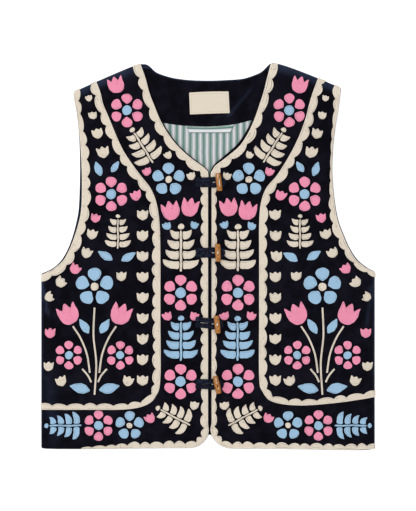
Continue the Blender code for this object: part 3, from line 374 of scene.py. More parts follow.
# Neck facing, lining, label and hanger strip, in garment coordinates
FACING_FLOOR = 2 * HALF_WALL + TOUCH
FACING_WALL = 1.2
FACING_INSET = 0.45
FACING_ENDS = ((-97.5, 285.2), (90.6, 284.2))
FACING_UNDER_FRONT = 12.0
FACING_FOOT = (
    (-79.0, 203.5), (-66.0, 201.2), (-36.0, 197.2), (0.0, 195.8), (36.0, 198.6),
    (66.0, 205.7), (79.0, 209.5),
)
LINING_WALL = 0.7
LINING_TOP = 76.0
LINING_SIDE = (
    (74.0, 190.0), (58.0, 168.0), (40.0, 150.0), (22.0, 134.0), (10.0, 118.0), (0.0, 112.0),
)
LABEL_PLACE = (1.5, 231.0)
LABEL_WALL = 0.6
LABEL_CORNERS = ((-27.0, 213.6), (32.6, 215.6), (30.9, 248.1), (-28.3, 246.4))
LABEL_BOW = 0.7
HANGER_WALL = 1.3
HANGER_TOP = (-33.0, 40.5)
HANGER_FOOT = (-27.5, 32.5)
HANGER_FOOT_HEIGHT = 186.0

# Closures from top to bottom: height, toggle x and tilt, and where its loop ends
CLOSURES = (
    {"y": 111.6, "toggle_x": 16.2, "tilt": 6.5, "loop_end": 27.4, "drop": 0.0, "spread": 0.0},
    {"y": 6.0, "toggle_x": 14.8, "tilt": 2.0, "loop_end": 26.0, "drop": 0.0, "spread": 0.2},
    {"y": -97.6, "toggle_x": 13.8, "tilt": 6.0, "loop_end": 23.6, "drop": 4.6, "spread": 1.4},
    {"y": -190.4, "toggle_x": 13.6, "tilt": 13.0, "loop_end": 24.0, "drop": 1.0, "spread": 0.4},
)
LOOP_START = -19.0
CORD_WIDTH = 7.5
CORD_THICK = 2.2
CORD_SPACING = 7.4
TOGGLE_LENGTH = 26.5
TOGGLE_WIDTH = 8.6
TOGGLE_THICK = 7.6
TOGGLE_PROFILE = ((0.0, 0.74), (0.04, 0.9), (0.2, 0.97), (0.5, 1.0), (0.8, 0.97), (0.96, 0.9), (1.0, 0.74))
THREAD_HOLE = 1.7
THREAD_SPACING = 4.6
THREAD_GIRTH = 0.5
CORD_AROUND = 28
TOGGLE_AROUND = 72
TOGGLE_RINGS = 104
THREAD_AROUND = 10
THREAD_RINGS = 26
PIT_DEPTH = 2.2
# How far a loop's strands part beside the toggle, over what length and where
LOOP_PARTING = (1.0, 2.6, -7.4)

# Stage, in metres but for the sensor: the camera's sensor, the floor's half width,
# how far it lies below the garment, its own light and where the camera looks
SENSOR = 36.0
FLOOR_REACH = 3.0
FLOOR_DROP = 0.0002
FLOOR_GLOW = 0.45
VIEW_MIDDLE = 0.0015

# From the millimetres of the tables to the frame: the label's middle is known in both
LABEL_LOW, LABEL_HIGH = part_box("label")
SHIFT = np.array(((LABEL_LOW + LABEL_HIGH) / 2).xy) - np.array(LABEL_PLACE) * MM


def side_points(table, side):
    """All points of an edge table for a side."""
    rows = np.array(table)
    return rows[:, :2] if side == LEFT else rows[:, 2:]


def measure(points):
    """Length along a run of points up to each of them."""
    return np.concatenate(([0.0], np.cumsum(np.linalg.norm(np.diff(points, axis=0), axis=1))))


def along(points, lengths):
    """Points of a run at given lengths along it."""
    reach = measure(points)
    return np.stack([np.interp(lengths, reach, column) for column in points.T], axis=-1)


def at_shares(points, shares):
    """Points of a run at given shares of its length."""
    return along(points, np.asarray(shares) * measure(points)[-1])


def smooth(points, step):
    """Points a step apart, by length, on a Catmull-Rom curve through the given ones."""
    knots = np.array(points, float)
    knots = np.vstack((2 * knots[0] - knots[1], knots, 2 * knots[-1] - knots[-2]))
    spans = len(knots) - 3
    place = np.linspace(0.0, spans, spans * 24 + 1)
    first = np.minimum(place.astype(int), spans - 1)
    t = (place - first)[:, None]
    before, start, end, after = (knots[first + k] for k in range(4))
    dense = 0.5 * (2 * start + (end - before) * t
                   + (2 * before - 5 * start + 4 * end - after) * t ** 2
                   + (3 * start - before - 3 * end + after) * t ** 3)
    count = max(2, round(measure(dense)[-1] / step) + 1)
    return at_shares(dense, np.linspace(0.0, 1.0, count))


def rightwards(points):
    """Directions of length 1 to the right of a run at each of its points."""
    run = np.gradient(points, axis=0)
    run /= np.linalg.norm(run, axis=1)[:, None]
    return np.stack((run[:, 1], -run[:, 0]), axis=-1)


def beside(points, gap):
    """A run moved to the right of its direction by a gap."""
    return points + rightwards(points) * gap


def arc(centre, radius, start, end, count):
    """Points of a round corner between two angles in degrees."""
    angles = np.radians(np.linspace(start, end, count))
    return np.array(centre) + radius * np.stack((np.cos(angles), np.sin(angles)), axis=-1)


def smoothstep(share):
    """0 up to 0, 1 from 1 on, and 3t^2 - 2t^3 between."""
    share = np.clip(share, 0.0, 1.0)
    return share * share * (3 - 2 * share)


class Fold:
    """A line past which the cloth curls round towards the other panel.

    The line bows out from its chord by bow (1 - (1 - s)^2)(1 - s^14) at the
    share s of its length.
    """

    def __init__(self, start, end, bow):
        self.start = np.array(start)
        chord = np.array(end) - self.start
        self.length = np.linalg.norm(chord)
        self.along = chord / self.length
        self.out = np.array((self.along[1], -self.along[0]))
        self.bow = bow

    def bulge(self, share):
        """How far the line bows out at a share of its length."""
        share = np.clip(share, 0.0, 1.0)
        return self.bow * (1 - (1 - share) ** 2) * (1 - share ** 14)

    def past(self, flat):
        """Distance of flat points past the line where the curl begins."""
        offset = flat - self.start
        return offset @ self.out - self.bulge(offset @ self.along / self.length) + CURL_REACH

    def curl(self, flat, out):
        """Which flat points lie past the line, how far it draws them out and how high it holds them.

        Past the line at distance p the cloth follows a quarter circle of
        radius R: it reaches (R + out) sin(p/R) outwards and lies
        (R + out) cos(p/R) from the circle's middle.
        """
        past = self.past(flat)
        angle = np.maximum(past, 0.0) / FOLD_RADIUS
        reach = np.where(past > 0, (FOLD_RADIUS + out) * np.sin(angle) - past, 0.0)
        return past > 0, reach[..., None] * self.out, (FOLD_RADIUS + out) * np.cos(angle)

    def line(self, past, shares):
        """Points at a distance past the start of the curl."""
        shares = np.asarray(shares)
        reach = self.bulge(shares) - CURL_REACH + past
        return self.start + np.outer(shares * self.length, self.along) + np.outer(reach, self.out)

    def held(self, flat, limit):
        """Flat points drawn back to a limit past the start of the curl."""
        over = np.maximum(self.past(flat) - limit, 0.0)
        return flat - over[..., None] * self.out


FOLDS = {
    side: (
        Fold((SIDE_REACH, SIDE_FOLD_ENDS[0]), (SIDE_REACH, SIDE_FOLD_ENDS[1]), 0.0),
        Fold(SHOULDER[side]["tip"], SHOULDER[side]["neck"], SHOULDER[side]["bow"]),
    )
    for side in (LEFT, RIGHT)
}


def creased(flat, creases):
    """Height of soft ridges and troughs: h exp(-(d/w)^2), fading past a crease's ends."""
    height = np.zeros(flat.shape[:-1])
    for x0, y0, x1, y1, width, top in creases:
        start = np.array((x0, y0))
        chord = np.array((x1, y1)) - start
        length = np.linalg.norm(chord)
        run = chord / length
        offset = flat - start
        on = offset @ run
        across = offset @ np.array((run[1], -run[0]))
        past_end = np.maximum(np.maximum(-on, on - length), 0.0)
        taper = np.exp(-(past_end / (2.5 * width)) ** 2)
        height += top * np.exp(-(across / width) ** 2) * taper
    return height


def swell(flat, side):
    """Height of swells and creases at flat points of a front, none near a fold."""
    height = creased(flat, CREASES[side])
    for middle_x, middle_y, reach_x, reach_y, top in SWELLS:
        beside_x = (np.abs(flat[..., 0]) - middle_x) / reach_x
        beside_y = (flat[..., 1] - middle_y) / reach_y
        height += top * np.exp(-(beside_x ** 2 + beside_y ** 2))
    for number, fold in enumerate(FOLDS[side]):
        fade = SWELL_FADE if number else SWELL_FADE / 2
        height *= smoothstep(-fold.past(flat) / fade)
    return height


def place_front(flat, out, side):
    """Where flat points of a front lie, at a distance outwards from the cloth's middle."""
    out = np.broadcast_to(out, flat.shape[:-1])
    height = FRONT_MIDDLE + out + swell(flat, side)
    spot = flat.copy()
    for fold in FOLDS[side]:
        turned_up, drawn, rise = fold.curl(flat, out)
        spot += drawn
        height = np.where(turned_up, FRONT_MIDDLE - FOLD_RADIUS + rise, height)
    return np.concatenate((spot * (SIGN[side], 1.0), height[..., None]), axis=-1)


def place_back(flat, out):
    """Where flat points of the back lie, in garment coordinates; outwards is down."""
    out = np.broadcast_to(out, flat.shape[:-1])
    height = BACK_MIDDLE - out
    spot = flat.copy()
    for side in (LEFT, RIGHT):
        turned_side = flat * (SIGN[side], 1.0)
        for fold in FOLDS[side]:
            turned_up, drawn, rise = fold.curl(turned_side, out)
            spot += drawn * (SIGN[side], 1.0)
            height = np.where(turned_up, BACK_MIDDLE + FOLD_RADIUS - rise, height)
    return np.concatenate((spot, height[..., None]), axis=-1)


# Meshes


def joined(parts):
    """Several shapes of points, faces and corner coordinates as one."""
    counts = np.cumsum([0] + [len(points) for points, _, _ in parts])
    return (np.concatenate([points for points, _, _ in parts]),
            np.concatenate([faces + start for (_, faces, _), start in zip(parts, counts)]),
            np.concatenate([corners for _, _, corners in parts]))


def welded(points, faces):
    """The shape with the points that lie in one place made one."""
    _, first, back = np.unique(np.round(points, 4), axis=0, return_index=True, return_inverse=True)
    return points[first], back.reshape(-1)[faces]


def outward(points, faces, corners):
    """The closed shape with its faces turned outwards, by the sign of its volume."""
    a, b, c, d = (points[faces[:, k]] for k in range(4))
    volume = np.sum(a * np.cross(b, c)) + np.sum(a * np.cross(c, d))
    if volume < 0:
        faces, corners = faces[:, ::-1], corners[:, ::-1]
    return faces, corners


def add_piece(name, shape, finish):
    """A piece from points in millimetres, four-cornered faces and their corners' UV.

    A corner in the same place as the one before it is left out, so a face at
    a pole has three.
    """
    points, faces = welded(*shape[:2])
    faces, corners = outward(points, faces, shape[2])
    kept = faces != np.roll(faces, 1, axis=1)
    kept[kept.sum(axis=1) < 3] = False
    doubled = (faces[:, 0] == faces[:, 2]) | (faces[:, 1] == faces[:, 3])
    kept[doubled] = False
    totals = kept.sum(axis=1)
    totals = totals[totals > 0]
    mesh = bpy.data.meshes.new(name)
    mesh.vertices.add(len(points))
    placed = points * MM
    placed[:, :2] += SHIFT
    mesh.vertices.foreach_set("co", placed.astype(np.float32).ravel())
    mesh.loops.add(int(totals.sum()))
    mesh.loops.foreach_set("vertex_index", faces[kept].astype(np.int32))
    mesh.polygons.add(len(totals))
    mesh.polygons.foreach_set("loop_start", (np.cumsum(totals) - totals).astype(np.int32))
    mesh.update(calc_edges=True)
    layer = mesh.uv_layers.new(name="Rows")
    layer.uv.foreach_set("vector", corners[kept].astype(np.float32).ravel())
    mesh.shade_smooth()
    mesh.materials.append(finish)
    piece = bpy.data.objects.new(name, mesh)
    bpy.context.scene.collection.objects.link(piece)
    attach(piece, BODY)
    return piece


def mark_streaks(piece, streaks, sign=1.0):
    """Notes for each point of a piece how much painted highlight its pile gets there."""
    points = np.empty(len(piece.data.vertices) * 3, np.float32)
    piece.data.vertices.foreach_get("co", points)
    flat = (points.reshape(-1, 3)[:, :2] - SHIFT) / MM * (sign, 1.0)
    layer = piece.data.attributes.new("streaks", "FLOAT", "POINT")
    layer.data.foreach_set("value", creased(flat, streaks).astype(np.float32))


def patch(rows, columns):
    """Faces between neighbours of a grid of points, and each face's grid places."""
    row, column = np.mgrid[0:rows - 1, 0:columns - 1]
    row, column = row.ravel(), column.ravel()
    places = np.stack((np.stack((row, column), -1), np.stack((row, column + 1), -1),
                       np.stack((row + 1, column + 1), -1), np.stack((row + 1, column), -1)), axis=1)
    return places[..., 0] * columns + places[..., 1], places


def edge_shares(length, cell, fine):
    """Shares of a length about a cell apart, closer at its end where the cloth curls."""
    if not fine:
        return np.linspace(0.0, 1.0, max(2, round(length / cell) + 1))
    last = 1.0 - CURL_STRIP / length
    even = np.linspace(0.0, last, max(2, round(last * length / cell) + 1))
    return np.concatenate((even[:-1], np.linspace(last, 1.0, CURL_STEPS + 1)))


def cloth_wall(bottom, top, left, right, shares, half, place):
    """A closed wall with round rims over a Coons patch between four edges.

    P(u, v) = (1 - v) bottom(u) + v top(u) + (1 - u) left(v) + u right(v), less
    the bilinear blend of the four corners.  place(flat, out) puts a flat
    point at a distance from the wall's middle.  The rim is a half circle.
    """
    u, v = shares
    grid = np.zeros((len(v), len(u), 2))
    grid[0], grid[-1] = at_shares(bottom, u), at_shares(top, u)
    grid[1:-1, 0], grid[1:-1, -1] = at_shares(left, v)[1:-1], at_shares(right, v)[1:-1]
    numbers = np.arange(grid.shape[0] * grid.shape[1]).reshape(grid.shape[:2])
    ring = np.concatenate((numbers[0], numbers[1:, -1], numbers[-1, -2::-1], numbers[-2:0:-1, 0]))
    flat = grid.reshape(-1, 2)
    edge = flat[ring]
    run = np.roll(edge, -1, axis=0) - np.roll(edge, 1, axis=0)
    outwards = np.stack((run[:, 1], -run[:, 0]), axis=-1)
    outwards /= np.maximum(np.linalg.norm(outwards, axis=1), 1e-9)[:, None]
    inset = edge - outwards * RIM
    flat[ring] = inset
    u_blend, v_blend = u[None, :, None], v[:, None, None]
    corners = ((1 - u_blend) * (1 - v_blend) * grid[0, 0] + u_blend * (1 - v_blend) * grid[0, -1]
               + (1 - u_blend) * v_blend * grid[-1, 0] + u_blend * v_blend * grid[-1, -1])
    coons = ((1 - v_blend) * grid[0][None] + v_blend * grid[-1][None]
             + (1 - u_blend) * grid[:, 0][:, None] + u_blend * grid[:, -1][:, None] - corners)
    grid[1:-1, 1:-1] = coons[1:-1, 1:-1]
    flat = grid.reshape(-1, 2)

    layers = [place(flat, half), place(flat, -half)]
    layers += [place(inset + outwards * RIM * math.cos(a), half * math.sin(a)) for a in RIM_ANGLES]
    points = np.concatenate(layers)
    over, places = patch(len(v), len(u))
    corner_uv = np.stack((u[places[..., 1]], v[places[..., 0]]), axis=-1)
    count, around = len(flat), len(ring)
    rims = [2 * count + k * around + np.arange(around) for k in range(len(RIM_ANGLES))]
    rims = [ring, *rims, ring + count]
    faces = [over, over[:, ::-1] + count]
    uv = [corner_uv, corner_uv[:, ::-1]]
    ring_uv = np.stack((u[ring % len(u)], v[ring // len(u)]), axis=-1)
    for upper, lower in zip(rims, rims[1:]):
        faces.append(np.stack((upper, lower, np.roll(lower, -1), np.roll(upper, -1)), axis=-1))
        after = np.roll(ring_uv, -1, axis=0)
        uv.append(np.stack((ring_uv, ring_uv, after, after), axis=1))
    return points, np.concatenate(faces), np.concatenate(uv)


# Edges of the cloth


def neck_run(side):
    """The front's cut edge from the shoulder seam to the start of its centre edge."""
    edge = FRONT_EDGE[side]
    rows = [SHOULDER[side]["neck"], *side_points(FRONT_NECK, side), (edge["x"], edge["top"])]
    return smooth(rows, EDGE_STEP)


def hem_corner(side):
    """The round corner between the centre edge and the hem."""
    edge = FRONT_EDGE[side]
    hem = side_points(FRONT_HEM, side)[0, 1] + CORNER_RISE
    centre = (edge["x"] + edge["corner"], hem + edge["corner"])
    return arc(centre, edge["corner"], 180.0, 270.0, CORNER_POINTS)


def side_top(side):
    """Where the side seam meets the armhole."""
    return (SIDE_REACH - CURL_REACH + CURL_LENGTH, ARMHOLE_END[side])


def armhole_run(table, side):
    """An armhole's cut edge from the side seam to the shoulder's tip."""
    tip = FOLDS[side][1].line(CURL_LENGTH, [0.0])[0]
    return smooth([side_top(side), *side_points(table, side), tip], EDGE_STEP)


def front_edges(side):
    """The four edges of a front: hem, shoulder, inner edge and outer edge."""
    corner = hem_corner(side)
    seam_x, seam_top = side_top(side)
    hem = smooth([corner[-1], *side_points(FRONT_HEM, side), (seam_x, SIDE_FOOT[side])], EDGE_STEP)
    shoulder = FOLDS[side][1].line(CURL_LENGTH, np.linspace(1.0, 0.0, SHOULDER_POINTS))
    inner = np.concatenate((corner[::-1], neck_run(side)[:0:-1], shoulder[:1]))
    seam = np.array(((seam_x, SIDE_FOOT[side]), (seam_x, seam_top)))
    outer = np.concatenate((seam, armhole_run(FRONT_ARMHOLE, side)[1:]))
    return hem, shoulder, inner, outer


def make_front(side, cell):
    """The wall of a front."""
    edges = front_edges(side)
    shares = [edge_shares(measure(edges[k])[-1], cell, True) for k in (0, 3)]
    return cloth_wall(*edges, shares, HALF_WALL, lambda flat, out: place_front(flat, out, side))


def back_edges():
    """The four edges of the back, its left side the mirror of side coordinates."""
    sides = {}
    for side in (LEFT, RIGHT):
        foot = (side_top(side)[0], SIDE_FOOT[side] + BACK_FOOT_RISE)
        outer = np.array((foot, *armhole_run(BACK_ARMHOLE, side)))
        shoulder = FOLDS[side][1].line(CURL_LENGTH, np.linspace(0.0, 1.0, SHOULDER_POINTS))
        sides[side] = (outer * (SIGN[side], 1.0), shoulder * (SIGN[side], 1.0))
    start_x, start_y = SHOULDER[LEFT]["neck"]
    neck = smooth([(-start_x, start_y), *BACK_NECK, SHOULDER[RIGHT]["neck"]], EDGE_STEP)
    top = np.concatenate((sides[LEFT][1][:-1], neck, sides[RIGHT][1][-2::-1]))
    hem = smooth([sides[LEFT][0][0], *BACK_HEM, sides[RIGHT][0][0]], EDGE_STEP)
    return hem, top, sides[LEFT][0], sides[RIGHT][0]


def make_back(cell):
    """The wall of the back."""
    edges = back_edges()
    half = edge_shares(measure(edges[0])[-1] / 2, cell, True)
    u = np.concatenate(((1 - half[::-1]) / 2, (1 + half[1:]) / 2))
    v = edge_shares(measure(edges[2])[-1], cell, True)
    return cloth_wall(*edges, (u, v), HALF_WALL, place_back)


def level(middle, creases):
    """A place function for a piece that lies flat at a height, with its creases."""
    def place(flat, out):
        """Where flat points lie, at a distance upwards from the wall's middle."""
        height = middle + out + creased(flat, creases)
        return np.concatenate((flat, height[..., None]), axis=-1)
    return place


def flat_wall(edges, cell, thickness, floor, creases=()):
    """The wall of a piece that lies flat on a floor."""
    shares = [edge_shares(measure(edges[k])[-1], cell, False) for k in (1, 2)]
    return cloth_wall(*edges, shares, thickness / 2, level(floor + thickness / 2, creases))


def facing_edges():
    """The neck facing's edges: along the back neck, and under the fronts beside it."""
    top = smooth(BACK_NECK[1:], EDGE_STEP) - (0.0, FACING_INSET)
    top = np.concatenate(([FACING_ENDS[0]], top, [FACING_ENDS[1]]))
    foot = smooth(FACING_FOOT, EDGE_STEP)
    sides = {}
    for side, end in zip((LEFT, RIGHT), FACING_ENDS):
        rows = (side_points(FRONT_NECK, side)[:3] + (FACING_UNDER_FRONT, 0.0)) * (SIGN[side], 1.0)
        low = FACING_FOOT[0] if side == LEFT else FACING_FOOT[-1]
        sides[side] = np.array([low, *rows[::-1], end])
    return foot, top, sides[LEFT], sides[RIGHT]


def below_facing(start, end, gap):
    """The facing's lower edge between two places along X, a gap lower."""
    edge = smooth(FACING_FOOT, EDGE_STEP)
    x = np.linspace(start, end, 80)
    return np.stack((x, np.interp(x, edge[:, 0], edge[:, 1]) - gap), axis=-1)


def lining_edges():
    """The edges of the striped cloth below the facing, a wedge that ends under the fronts."""
    top = below_facing(-LINING_TOP, LINING_TOP, SEAM)
    right = np.array([*LINING_SIDE[::-1], top[-1]])
    left = np.concatenate((right[:-1] * (-1.0, 1.0), top[:1]))
    point = np.repeat([LINING_SIDE[-1]], 2, axis=0) + ((-0.4, 0.0), (0.4, 0.0))
    left[0], right[0] = point
    return point, top, left, right


def label_edges():
    """The label's edges: four slightly skewed corners with a bowed top edge."""
    low_left, low_right, high_right, high_left = (np.array(corner) for corner in LABEL_CORNERS)
    across = np.linspace(0.0, 1.0, 40)[:, None]
    bow = np.concatenate((np.zeros_like(across), 4 * across * (1 - across) * LABEL_BOW), axis=1)
    top = high_left + (high_right - high_left) * across + bow
    bottom = low_left + (low_right - low_left) * across + bow * 0.3
    return bottom, top, np.array((low_left, high_left)), np.array((low_right, high_right))


def hanger_edges():
    """The edges of the hanger strip, a folded strip with slanted ends below the facing."""
    top = below_facing(HANGER_TOP[0], HANGER_TOP[1], SEAM)
    bottom = np.array(((HANGER_FOOT[0], HANGER_FOOT_HEIGHT), (HANGER_FOOT[1], HANGER_FOOT_HEIGHT)))
    return bottom, top, np.array((bottom[0], top[0])), np.array((bottom[1], top[-1]))


# Embroidery


def cap(loop, spine, rows, side, stitch):
    """A closed cap of chain-stitch rows over a flat shape.

    P(s, t) = (1 - t) loop(s) + t spine(s).  The height over the velvet is a
    valley and a ridge |sin(pi rows t)|^RIDGE_POWER for each row, and sinks in at the
    rim.  U counts stitches along a row and V counts rows from the rim.
    """
    following = np.roll(loop, -1, axis=0)
    if np.sum(loop[:, 0] * following[:, 1] - following[:, 0] * loop[:, 1]) < 0:
        loop, spine = loop[::-1], spine[::-1]
    count, steps = len(loop), rows * ACROSS
    t = np.linspace(0.0, 1.0, steps + 1)
    flat = loop[:, None] * (1 - t)[:, None] + spine[:, None] * t[:, None]
    rise = np.minimum(np.sin(math.pi * np.minimum(t * rows, 0.5)), 1.0)
    ridge = np.abs(np.sin(math.pi * rows * t)) ** RIDGE_POWER
    height = STITCH_SINK + (STITCH_VALLEY - STITCH_SINK) * rise + (STITCH_RIDGE - STITCH_VALLEY) * ridge
    top = place_front(flat, HALF_WALL + height[None, :], side).reshape(-1, 3)
    under = place_front(spine, HALF_WALL + STITCH_SINK, side)

    index = np.arange(count)
    after = (index + 1) % count
    i, j = (part.ravel() for part in np.meshgrid(index, np.arange(steps), indexing="ij"))
    here, there = i * (steps + 1) + j, after[i] * (steps + 1) + j
    over = np.stack((here, there, there + 1, here + 1), axis=-1)
    low = count * (steps + 1)
    below = np.stack((index * (steps + 1), low + index, low + after, after * (steps + 1)), axis=-1)

    middles = flat[:, ACROSS // 2::ACROSS]
    lengths = np.linalg.norm(np.roll(middles, -1, axis=0) - middles, axis=-1).sum(axis=0)
    stitches = np.maximum(np.round(lengths / stitch), 1.0)
    reach = measure(np.vstack((loop, loop[:1])))
    share = reach / reach[-1]
    row = j // ACROSS
    slip = 0.37 * row
    u_here, u_there = share[i] * stitches[row] + slip, share[i + 1] * stitches[row] + slip
    uv = np.stack((np.stack((u_here, u_there, u_there, u_here), axis=-1),
                   np.stack((j, j, j + 1, j + 1), axis=-1) / ACROSS), axis=-1)
    flat_uv = np.full((count, 4, 2), 0.5)
    return (np.concatenate((top, under)), np.concatenate((over, below)), np.concatenate((uv, flat_uv)))


def ring(runs):
    """A closed outline from smooth runs that meet at corners."""
    return np.concatenate([smooth(run, SAMPLE_STEP)[:-1] for run in runs])


def both_sides(runs):
    """Runs up the right side, and the same mirrored down the left one."""
    right = [np.array(run, float) for run in runs]
    return right + [run[::-1] * (-1.0, 1.0) for run in right[::-1]]


def petal(length, width):
    """Outline and spine of a round-ended petal growing along +Y from its point."""
    half = width / 2
    right = [(0.0, 0.0), (half * 0.74, length * 0.3), (half, length * 0.64),
             (half * 0.66, length * 0.9)]
    loop = ring([right + [(0.0, length)] + [(-x, y) for x, y in right[::-1]]])
    return loop, spine_up(loop, length * 0.52, length * 0.62)


def spine_up(loop, low, high):
    """The place on the middle line nearest in height to each point of a loop."""
    return np.stack((np.zeros(len(loop)), np.clip(loop[:, 1], low, high)), axis=-1)


def leaf(length):
    """Outline and spine of a pointed leaf growing along +Y from its point."""
    half = length * 0.23
    right = [(0.0, 0.0), (half * 0.92, length * 0.3), (half * 0.9, length * 0.6), (0.0, length)]
    loop = ring(both_sides([right]))
    return loop, spine_up(loop, length * 0.25, length * 0.75)


def bud(length):
    """Outline and spine of a small three-pointed bud growing along +Y."""
    half = length / 2
    cup = [(0.0, 0.0), (half * 0.8, length * 0.25), (half * 0.96, length * 0.6),
           (half * 0.98, length * 0.95)]
    loop = ring(both_sides([cup] + crown(half, length, half * 0.98, 0.72)))
    return loop, spine_up(loop, length * 0.28, length * 0.34)


def tulip(length):
    """Outline and spine of a tulip cup with three points growing along +Y."""
    half = length * 0.44
    right = [(half * 0.6, length * 0.08), (half, length * 0.38), (half * 0.96, length * 0.95)]
    cup = [(-x, y) for x, y in right[::-1]] + [(0.0, 0.0)] + right
    tips = [np.array(run) for run in crown(half, length, half * 0.96, 0.66)]
    loop = ring([cup] + tips + [run[::-1] * (-1.0, 1.0) for run in tips[::-1]])
    return loop, spine_up(loop, length * 0.3, length * 0.37)


def crown(half, length, point, dip):
    """The two runs from a cup's side point over a notch to its middle point."""
    notch = (half * 0.43, length * dip)
    return [
        [(point, length * 0.95), (half * 0.66, length * (0.4 + dip * 0.62)), notch],
        [notch, (half * 0.27, length * (0.5 + dip * 0.5)), (0.0, length)],
    ]


def disc(radius):
    """Outline and spine of a round disc about the origin."""
    count = max(12, round(2 * math.pi * radius / SAMPLE_STEP))
    loop = arc((0.0, 0.0), radius, 0.0, 360.0, count + 1)[:-1]
    return loop, np.zeros_like(loop)


def between(lower, upper, low, high):
    """Outline and spine of a strip between two runs from its base to its tip."""
    shares = np.linspace(0.0, 1.0, max(len(lower), len(upper), 6))
    lower, upper = at_shares(lower, shares), at_shares(upper, shares)
    return strip(lower, upper, low, high)


def strip(lower, upper, low, high):
    """Outline and spine of a strip between two runs with as many points each.

    The spine is the middle of both runs, held between two shares of them.
    """
    middle = (lower + upper) / 2
    held = at_index(middle, np.clip(np.linspace(0.0, 1.0, len(middle)), low, high))
    return np.concatenate((lower, upper[::-1])), np.concatenate((held, held[::-1]))


def at_index(points, shares):
    """Points of a run at shares of its count, whatever their lengths."""
    place = np.asarray(shares) * (len(points) - 1)
    number = np.arange(len(points))
    return np.stack([np.interp(place, number, column) for column in points.T], axis=-1)


def turned(points, degrees):
    """Points turned clockwise about the origin."""
    c, s = math.cos(math.radians(degrees)), math.sin(math.radians(degrees))
    return points @ np.array(((c, -s), (s, c)))


def flower(size, petals, hub, width):
    """Separate petals round a disc, each with its outline and spine."""
    foot = size * hub + PETAL_GAP
    loop, spine = petal(size / 2 - foot, size * width)
    runs = (loop + (0.0, foot), spine + (0.0, foot))
    shapes = [[turned(run, 360.0 * k / petals) for run in runs] for k in range(petals)]
    return shapes, disc(size * hub)


def sprig(size, spread):
    """A fern sprig along +Y: curved leaflets in pairs, a stem and a tip leaf."""
    pitch = size * 0.8 / LEAFLET_PAIRS
    stalk = size * 0.024
    shapes = []
    for k in range(LEAFLET_PAIRS):
        foot = pitch * (k + 0.3)
        reach = size * spread * (1 - 0.13 * k)
        tip = (reach, foot + pitch)
        lower = [(stalk, foot), (reach * 0.62, foot + pitch * 0.06),
                 (reach * 0.93, foot + pitch * 0.5), tip]
        upper = [(stalk, foot + pitch * 0.84), (reach * 0.5, foot + pitch * 0.82), tip]
        leaflet = between(smooth(lower, SAMPLE_STEP), smooth(upper, SAMPLE_STEP), 0.12, 0.8)
        shapes += [leaflet, [run * (-1.0, 1.0) for run in leaflet]]
    stem_top = size * 0.86
    edge = smooth([(stalk, 0.0), (stalk, stem_top)], SAMPLE_STEP)
    shapes.append(between(edge, edge * (-1.0, 1.0), 0.03, 0.97))
    loop, spine = leaf(size * 0.15)
    widen = (size * 0.075 / (size * 0.15 * 0.215), 1.0)
    shapes.append([run * widen + (0.0, size * 0.85) for run in (loop, spine)])
    return shapes


def motif(kind, size, colour):
    """The shapes of one motif with their colours, half of it below the origin."""
    if kind in FLOWERS:
        facts = FLOWERS[kind]
        petals, middle = flower(size, facts["petals"], facts["hub"], facts["width"])
        return [(shape, colour) for shape in petals] + [(middle, facts["disc"])]
    if kind in SPRIG_SPREAD:
        shapes = sprig(size, SPRIG_SPREAD[kind])
    else:
        shapes = [{"bud": bud, "tulip": tulip, "leaf": leaf}[kind](size)]
    return [([run - (0.0, size / 2) for run in shape], colour) for shape in shapes]


def side_shift(x, y, side):
    """A motif's place, drawn in where the right front is narrower than the left."""
    if side == LEFT:
        return x
    reach = []
    for which in (LEFT, RIGHT):
        edge = np.vstack(((SIDE_REACH, ARMHOLE_END[which]), side_points(FRONT_ARMHOLE, which)))
        reach.append(float(np.interp(y, edge[:, 1], edge[:, 0])))
    near = [FRONT_EDGE[which]["x"] for which in (LEFT, RIGHT)]
    return near[1] + (x - near[0]) * (reach[1] - near[1]) / (reach[0] - near[0])


def motif_rows():
    """All rows of motifs, with the column of buds written out."""
    x, first, step, count, length = BUD_COLUMN
    column = tuple(("bud", x, first + k * step, 0.0, length, "cream") for k in range(count))
    return MOTIFS + column + PLANT_MOTIFS


def softened(loop, times=3):
    """A closed outline with its corners rounded by (1, 2, 1) / 4 averages."""
    for _ in range(times):
        loop = (np.roll(loop, 1, axis=0) + 2 * loop + np.roll(loop, -1, axis=0)) / 4
    return loop


def handmade(flat, seed):
    """Flat points shifted softly by up to about half a millimetre, as sewn by hand."""
    x, y = flat[..., 0] + 37.0 * seed, flat[..., 1]
    shift_x = 0.32 * np.sin(0.23 * y + 0.11 * x) + 0.16 * np.sin(0.71 * y - 0.33 * x)
    shift_y = 0.32 * np.sin(0.19 * x - 0.13 * y + 2.0) + 0.16 * np.sin(0.64 * x + 0.41 * y)
    return flat + np.stack((shift_x, shift_y), axis=-1)


def row_count(loop, spine, pitch):
    """How many rows of stitches fit between a loop and its spine."""
    reach = np.percentile(np.linalg.norm(loop - spine, axis=1), 65)
    return max(1, round(float(reach) / pitch))


def motif_caps(side, pitch, stitch):
    """The caps of all motifs and stems of a front, by colour."""
    caps = {colour: [] for colour in THREADS}
    for kind, x, y, turn, size, colour in motif_rows():
        place = np.array((side_shift(x, y, side), y))
        for (outline, middle), thread in motif(kind, size, colour):
            loop, spine = (handmade(turned(run, turn) + place, SIGN[side])
                           for run in (softened(outline), middle))
            caps[thread].append(cap(loop, spine, row_count(loop, spine, pitch), side, stitch))
    for points in PLANT_STEMS:
        path = smooth([(side_shift(x, y, side), y) for x, y in points], SAMPLE_STEP)
        loop, spine = between(beside(path, STEM_WIDTH / 2), beside(path, -STEM_WIDTH / 2), 0.02, 0.98)
        caps["cream"].append(cap(loop, spine, 1, side, stitch))
    return caps


